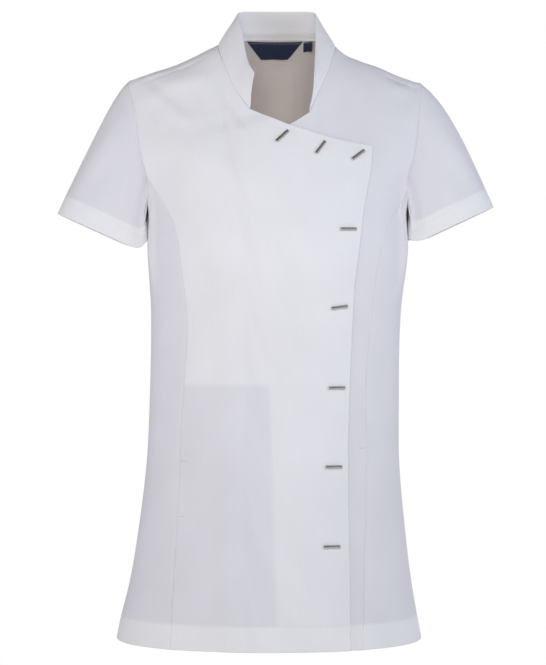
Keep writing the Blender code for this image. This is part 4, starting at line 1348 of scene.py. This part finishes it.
def tackLines():  # across each end of a pocket's mouth, from its seam onto the front
    lines = []
    for hand in hands:
        reach = np.linspace(stitching["tackFrom"], pockets["tack"], stitching["tackPoints"])
        for z in pockets["mouths"]["front" + hand.capitalize()]["heights"]:
            x = float(smooth(princessTable(hand), "x", z)) - armSign(hand) * reach
            turn, drop = onBody(x, np.full_like(x, z), front).T
            out = bodyNormal(turn, drop)
            lines.append((bodyPoint(turn, drop) + out * stitching["tackStand"], out))
    return lines


stitches = stitchTree(thread)
addStitches("hemStitches", hemLines, stitches, stitching["hem"])
addStitches("labelStitches", labelLines, stitches, stitching["label"])
addStitches("pocketTacks", tackLines(), stitches, stitching["tack"])
print("tunic: stitches")


# Floor, light and camera.
studio = dict(
    floor="#F2F2F2",
    floorHeight=-2.4,
    floorSize=18.0,
    floorGlow=0.36,
    sky="#FFFFFF",             # looks white, and lights the cloth this much:
    ambient=0.085,             # from all round
    below=0.585,               # more from the pale floor
    beside=0.457,              # and from each side
    lens=108.27,
    camera=(-0.005, -2.5, -0.349),
    lights=(
        dict(name="key", place=(0, -1.7, 0.15), aim=(0, 0, -0.2), size=0.9, power=11.5,
             colour="#FFFEF6"),
        dict(name="besideRight", place=(-1.3, -0.9, -0.15), aim=(-0.1, 0, -0.3), size=0.6,
             power=4.2, colour="#E8EDFF"),
        dict(name="besideLeft", place=(1.3, -0.9, -0.05), aim=(0.1, 0, -0.25), size=0.6,
             power=2.9, colour="#D4E8FF"),
        dict(name="cool", place=(2.0, -1.4, 0.8), aim=(0.12, 0, -0.12), size=1.0, power=8.2,
             colour="#C6DBFF"),
        dict(name="behind", place=(1.2, 3.2, 0.7), aim=(0, 0, -0.3), size=1.6, power=46,
             colour="#FFFFFF"),
        dict(name="throughCloth", place=(0, -0.03, -0.22), aim=(0, 0.05, 0.0), size=0.12,
             power=0.03, colour="#FFF0E4"),    # what thin cloth lets in
    ),
    # A dark board near the camera, seen only in the polish of the bars.
    board=dict(colour="#0C0C0E", y=-3.3, left=-1.1, right=1.1, foot=-0.7, top=2.5),
)


def addLight(light):
    data = bpy.data.lights.new(light["name"], "AREA")
    data.energy, data.size = light["power"], light["size"]
    data.color = linear(light["colour"])[:3]
    lamp = bpy.data.objects.new(light["name"], data)
    lamp.location = light["place"]
    lamp.rotation_euler = (Vector(light["aim"]) - lamp.location).to_track_quat("-Z", "Y").to_euler()
    lamp.visible_camera = lamp.visible_glossy = False
    bpy.context.scene.collection.objects.link(lamp)


def stagePlane(name, corners, material, seen=True):
    mesh = bpy.data.meshes.new(name)
    mesh.from_pydata(corners, [], [(0, 1, 2, 3)])
    plane = meshObject(name, mesh, material)
    plane.visible_diffuse = plane.visible_shadow = False  # the sky alone lights from below
    plane.visible_camera = seen


for light in studio["lights"]:
    addLight(light)
half, height = studio["floorSize"] / 2, studio["floorHeight"]
floorPaint, floorTree, floorShader = newMaterial("paleFloor")
setInputs(floorTree, floorShader, {
    "Base Color": linear(studio["floor"]), "Roughness": 0.9,
    "Emission Color": linear(studio["floor"]), "Emission Strength": studio["floorGlow"],
})
corners = ((-half, -half), (half, -half), (half, half), (-half, half))
stagePlane("floor", [(x, y, height) for x, y in corners], floorPaint)
board = studio["board"]
boardPaint, boardTree, boardShader = newMaterial("blackFelt")
setInputs(boardTree, boardShader, {
    "Base Color": linear(board["colour"]), "Specular IOR Level": 0.0,
})
left, right, foot, top = (board[side] for side in ("left", "right", "foot", "top"))
corners = ((left, foot), (left, top), (right, top), (right, foot))
stagePlane("boardFront", [(x, board["y"], z) for x, z in corners], boardPaint, seen=False)
world = bpy.data.worlds.new("studio")
world.use_nodes = True
skyTree = world.node_tree
seen = addNode(skyTree, "ShaderNodeLightPath").outputs["Is Camera Ray"]
way = addNode(skyTree, "ShaderNodeSeparateXYZ", {
    0: addNode(skyTree, "ShaderNodeTexCoord").outputs["Generated"],
}).outputs
fromBelow = addNode(skyTree, "ShaderNodeMapRange", {
    "Value": way["Z"], "From Min": 0.0, "From Max": -1.0, "To Min": studio["ambient"],
    "To Max": studio["ambient"] + studio["below"],
})
aside = addNode(skyTree, "ShaderNodeMath", {0: way["X"]}, operation="ABSOLUTE")
around = addNode(skyTree, "ShaderNodeMath", {0: aside, 1: studio["beside"], 2: fromBelow},
                 operation="MULTIPLY_ADD")
strength = addNode(skyTree, "ShaderNodeMapRange", {"Value": seen, "To Min": around})
setInputs(skyTree, skyTree.nodes["Background"], {
    "Color": linear(studio["sky"]), "Strength": strength,
})
scene = bpy.context.scene
scene.world = world
scene.view_settings.view_transform = "Standard"
scene.view_settings.look = "None"
cameraData = bpy.data.cameras.new("camera")
cameraData.lens = studio["lens"]
camera = bpy.data.objects.new("camera", cameraData)
camera.location = studio["camera"]
camera.rotation_euler = (math.pi / 2, 0, 0)
scene.collection.objects.link(camera)
scene.camera = camera
print("tunic: studio")
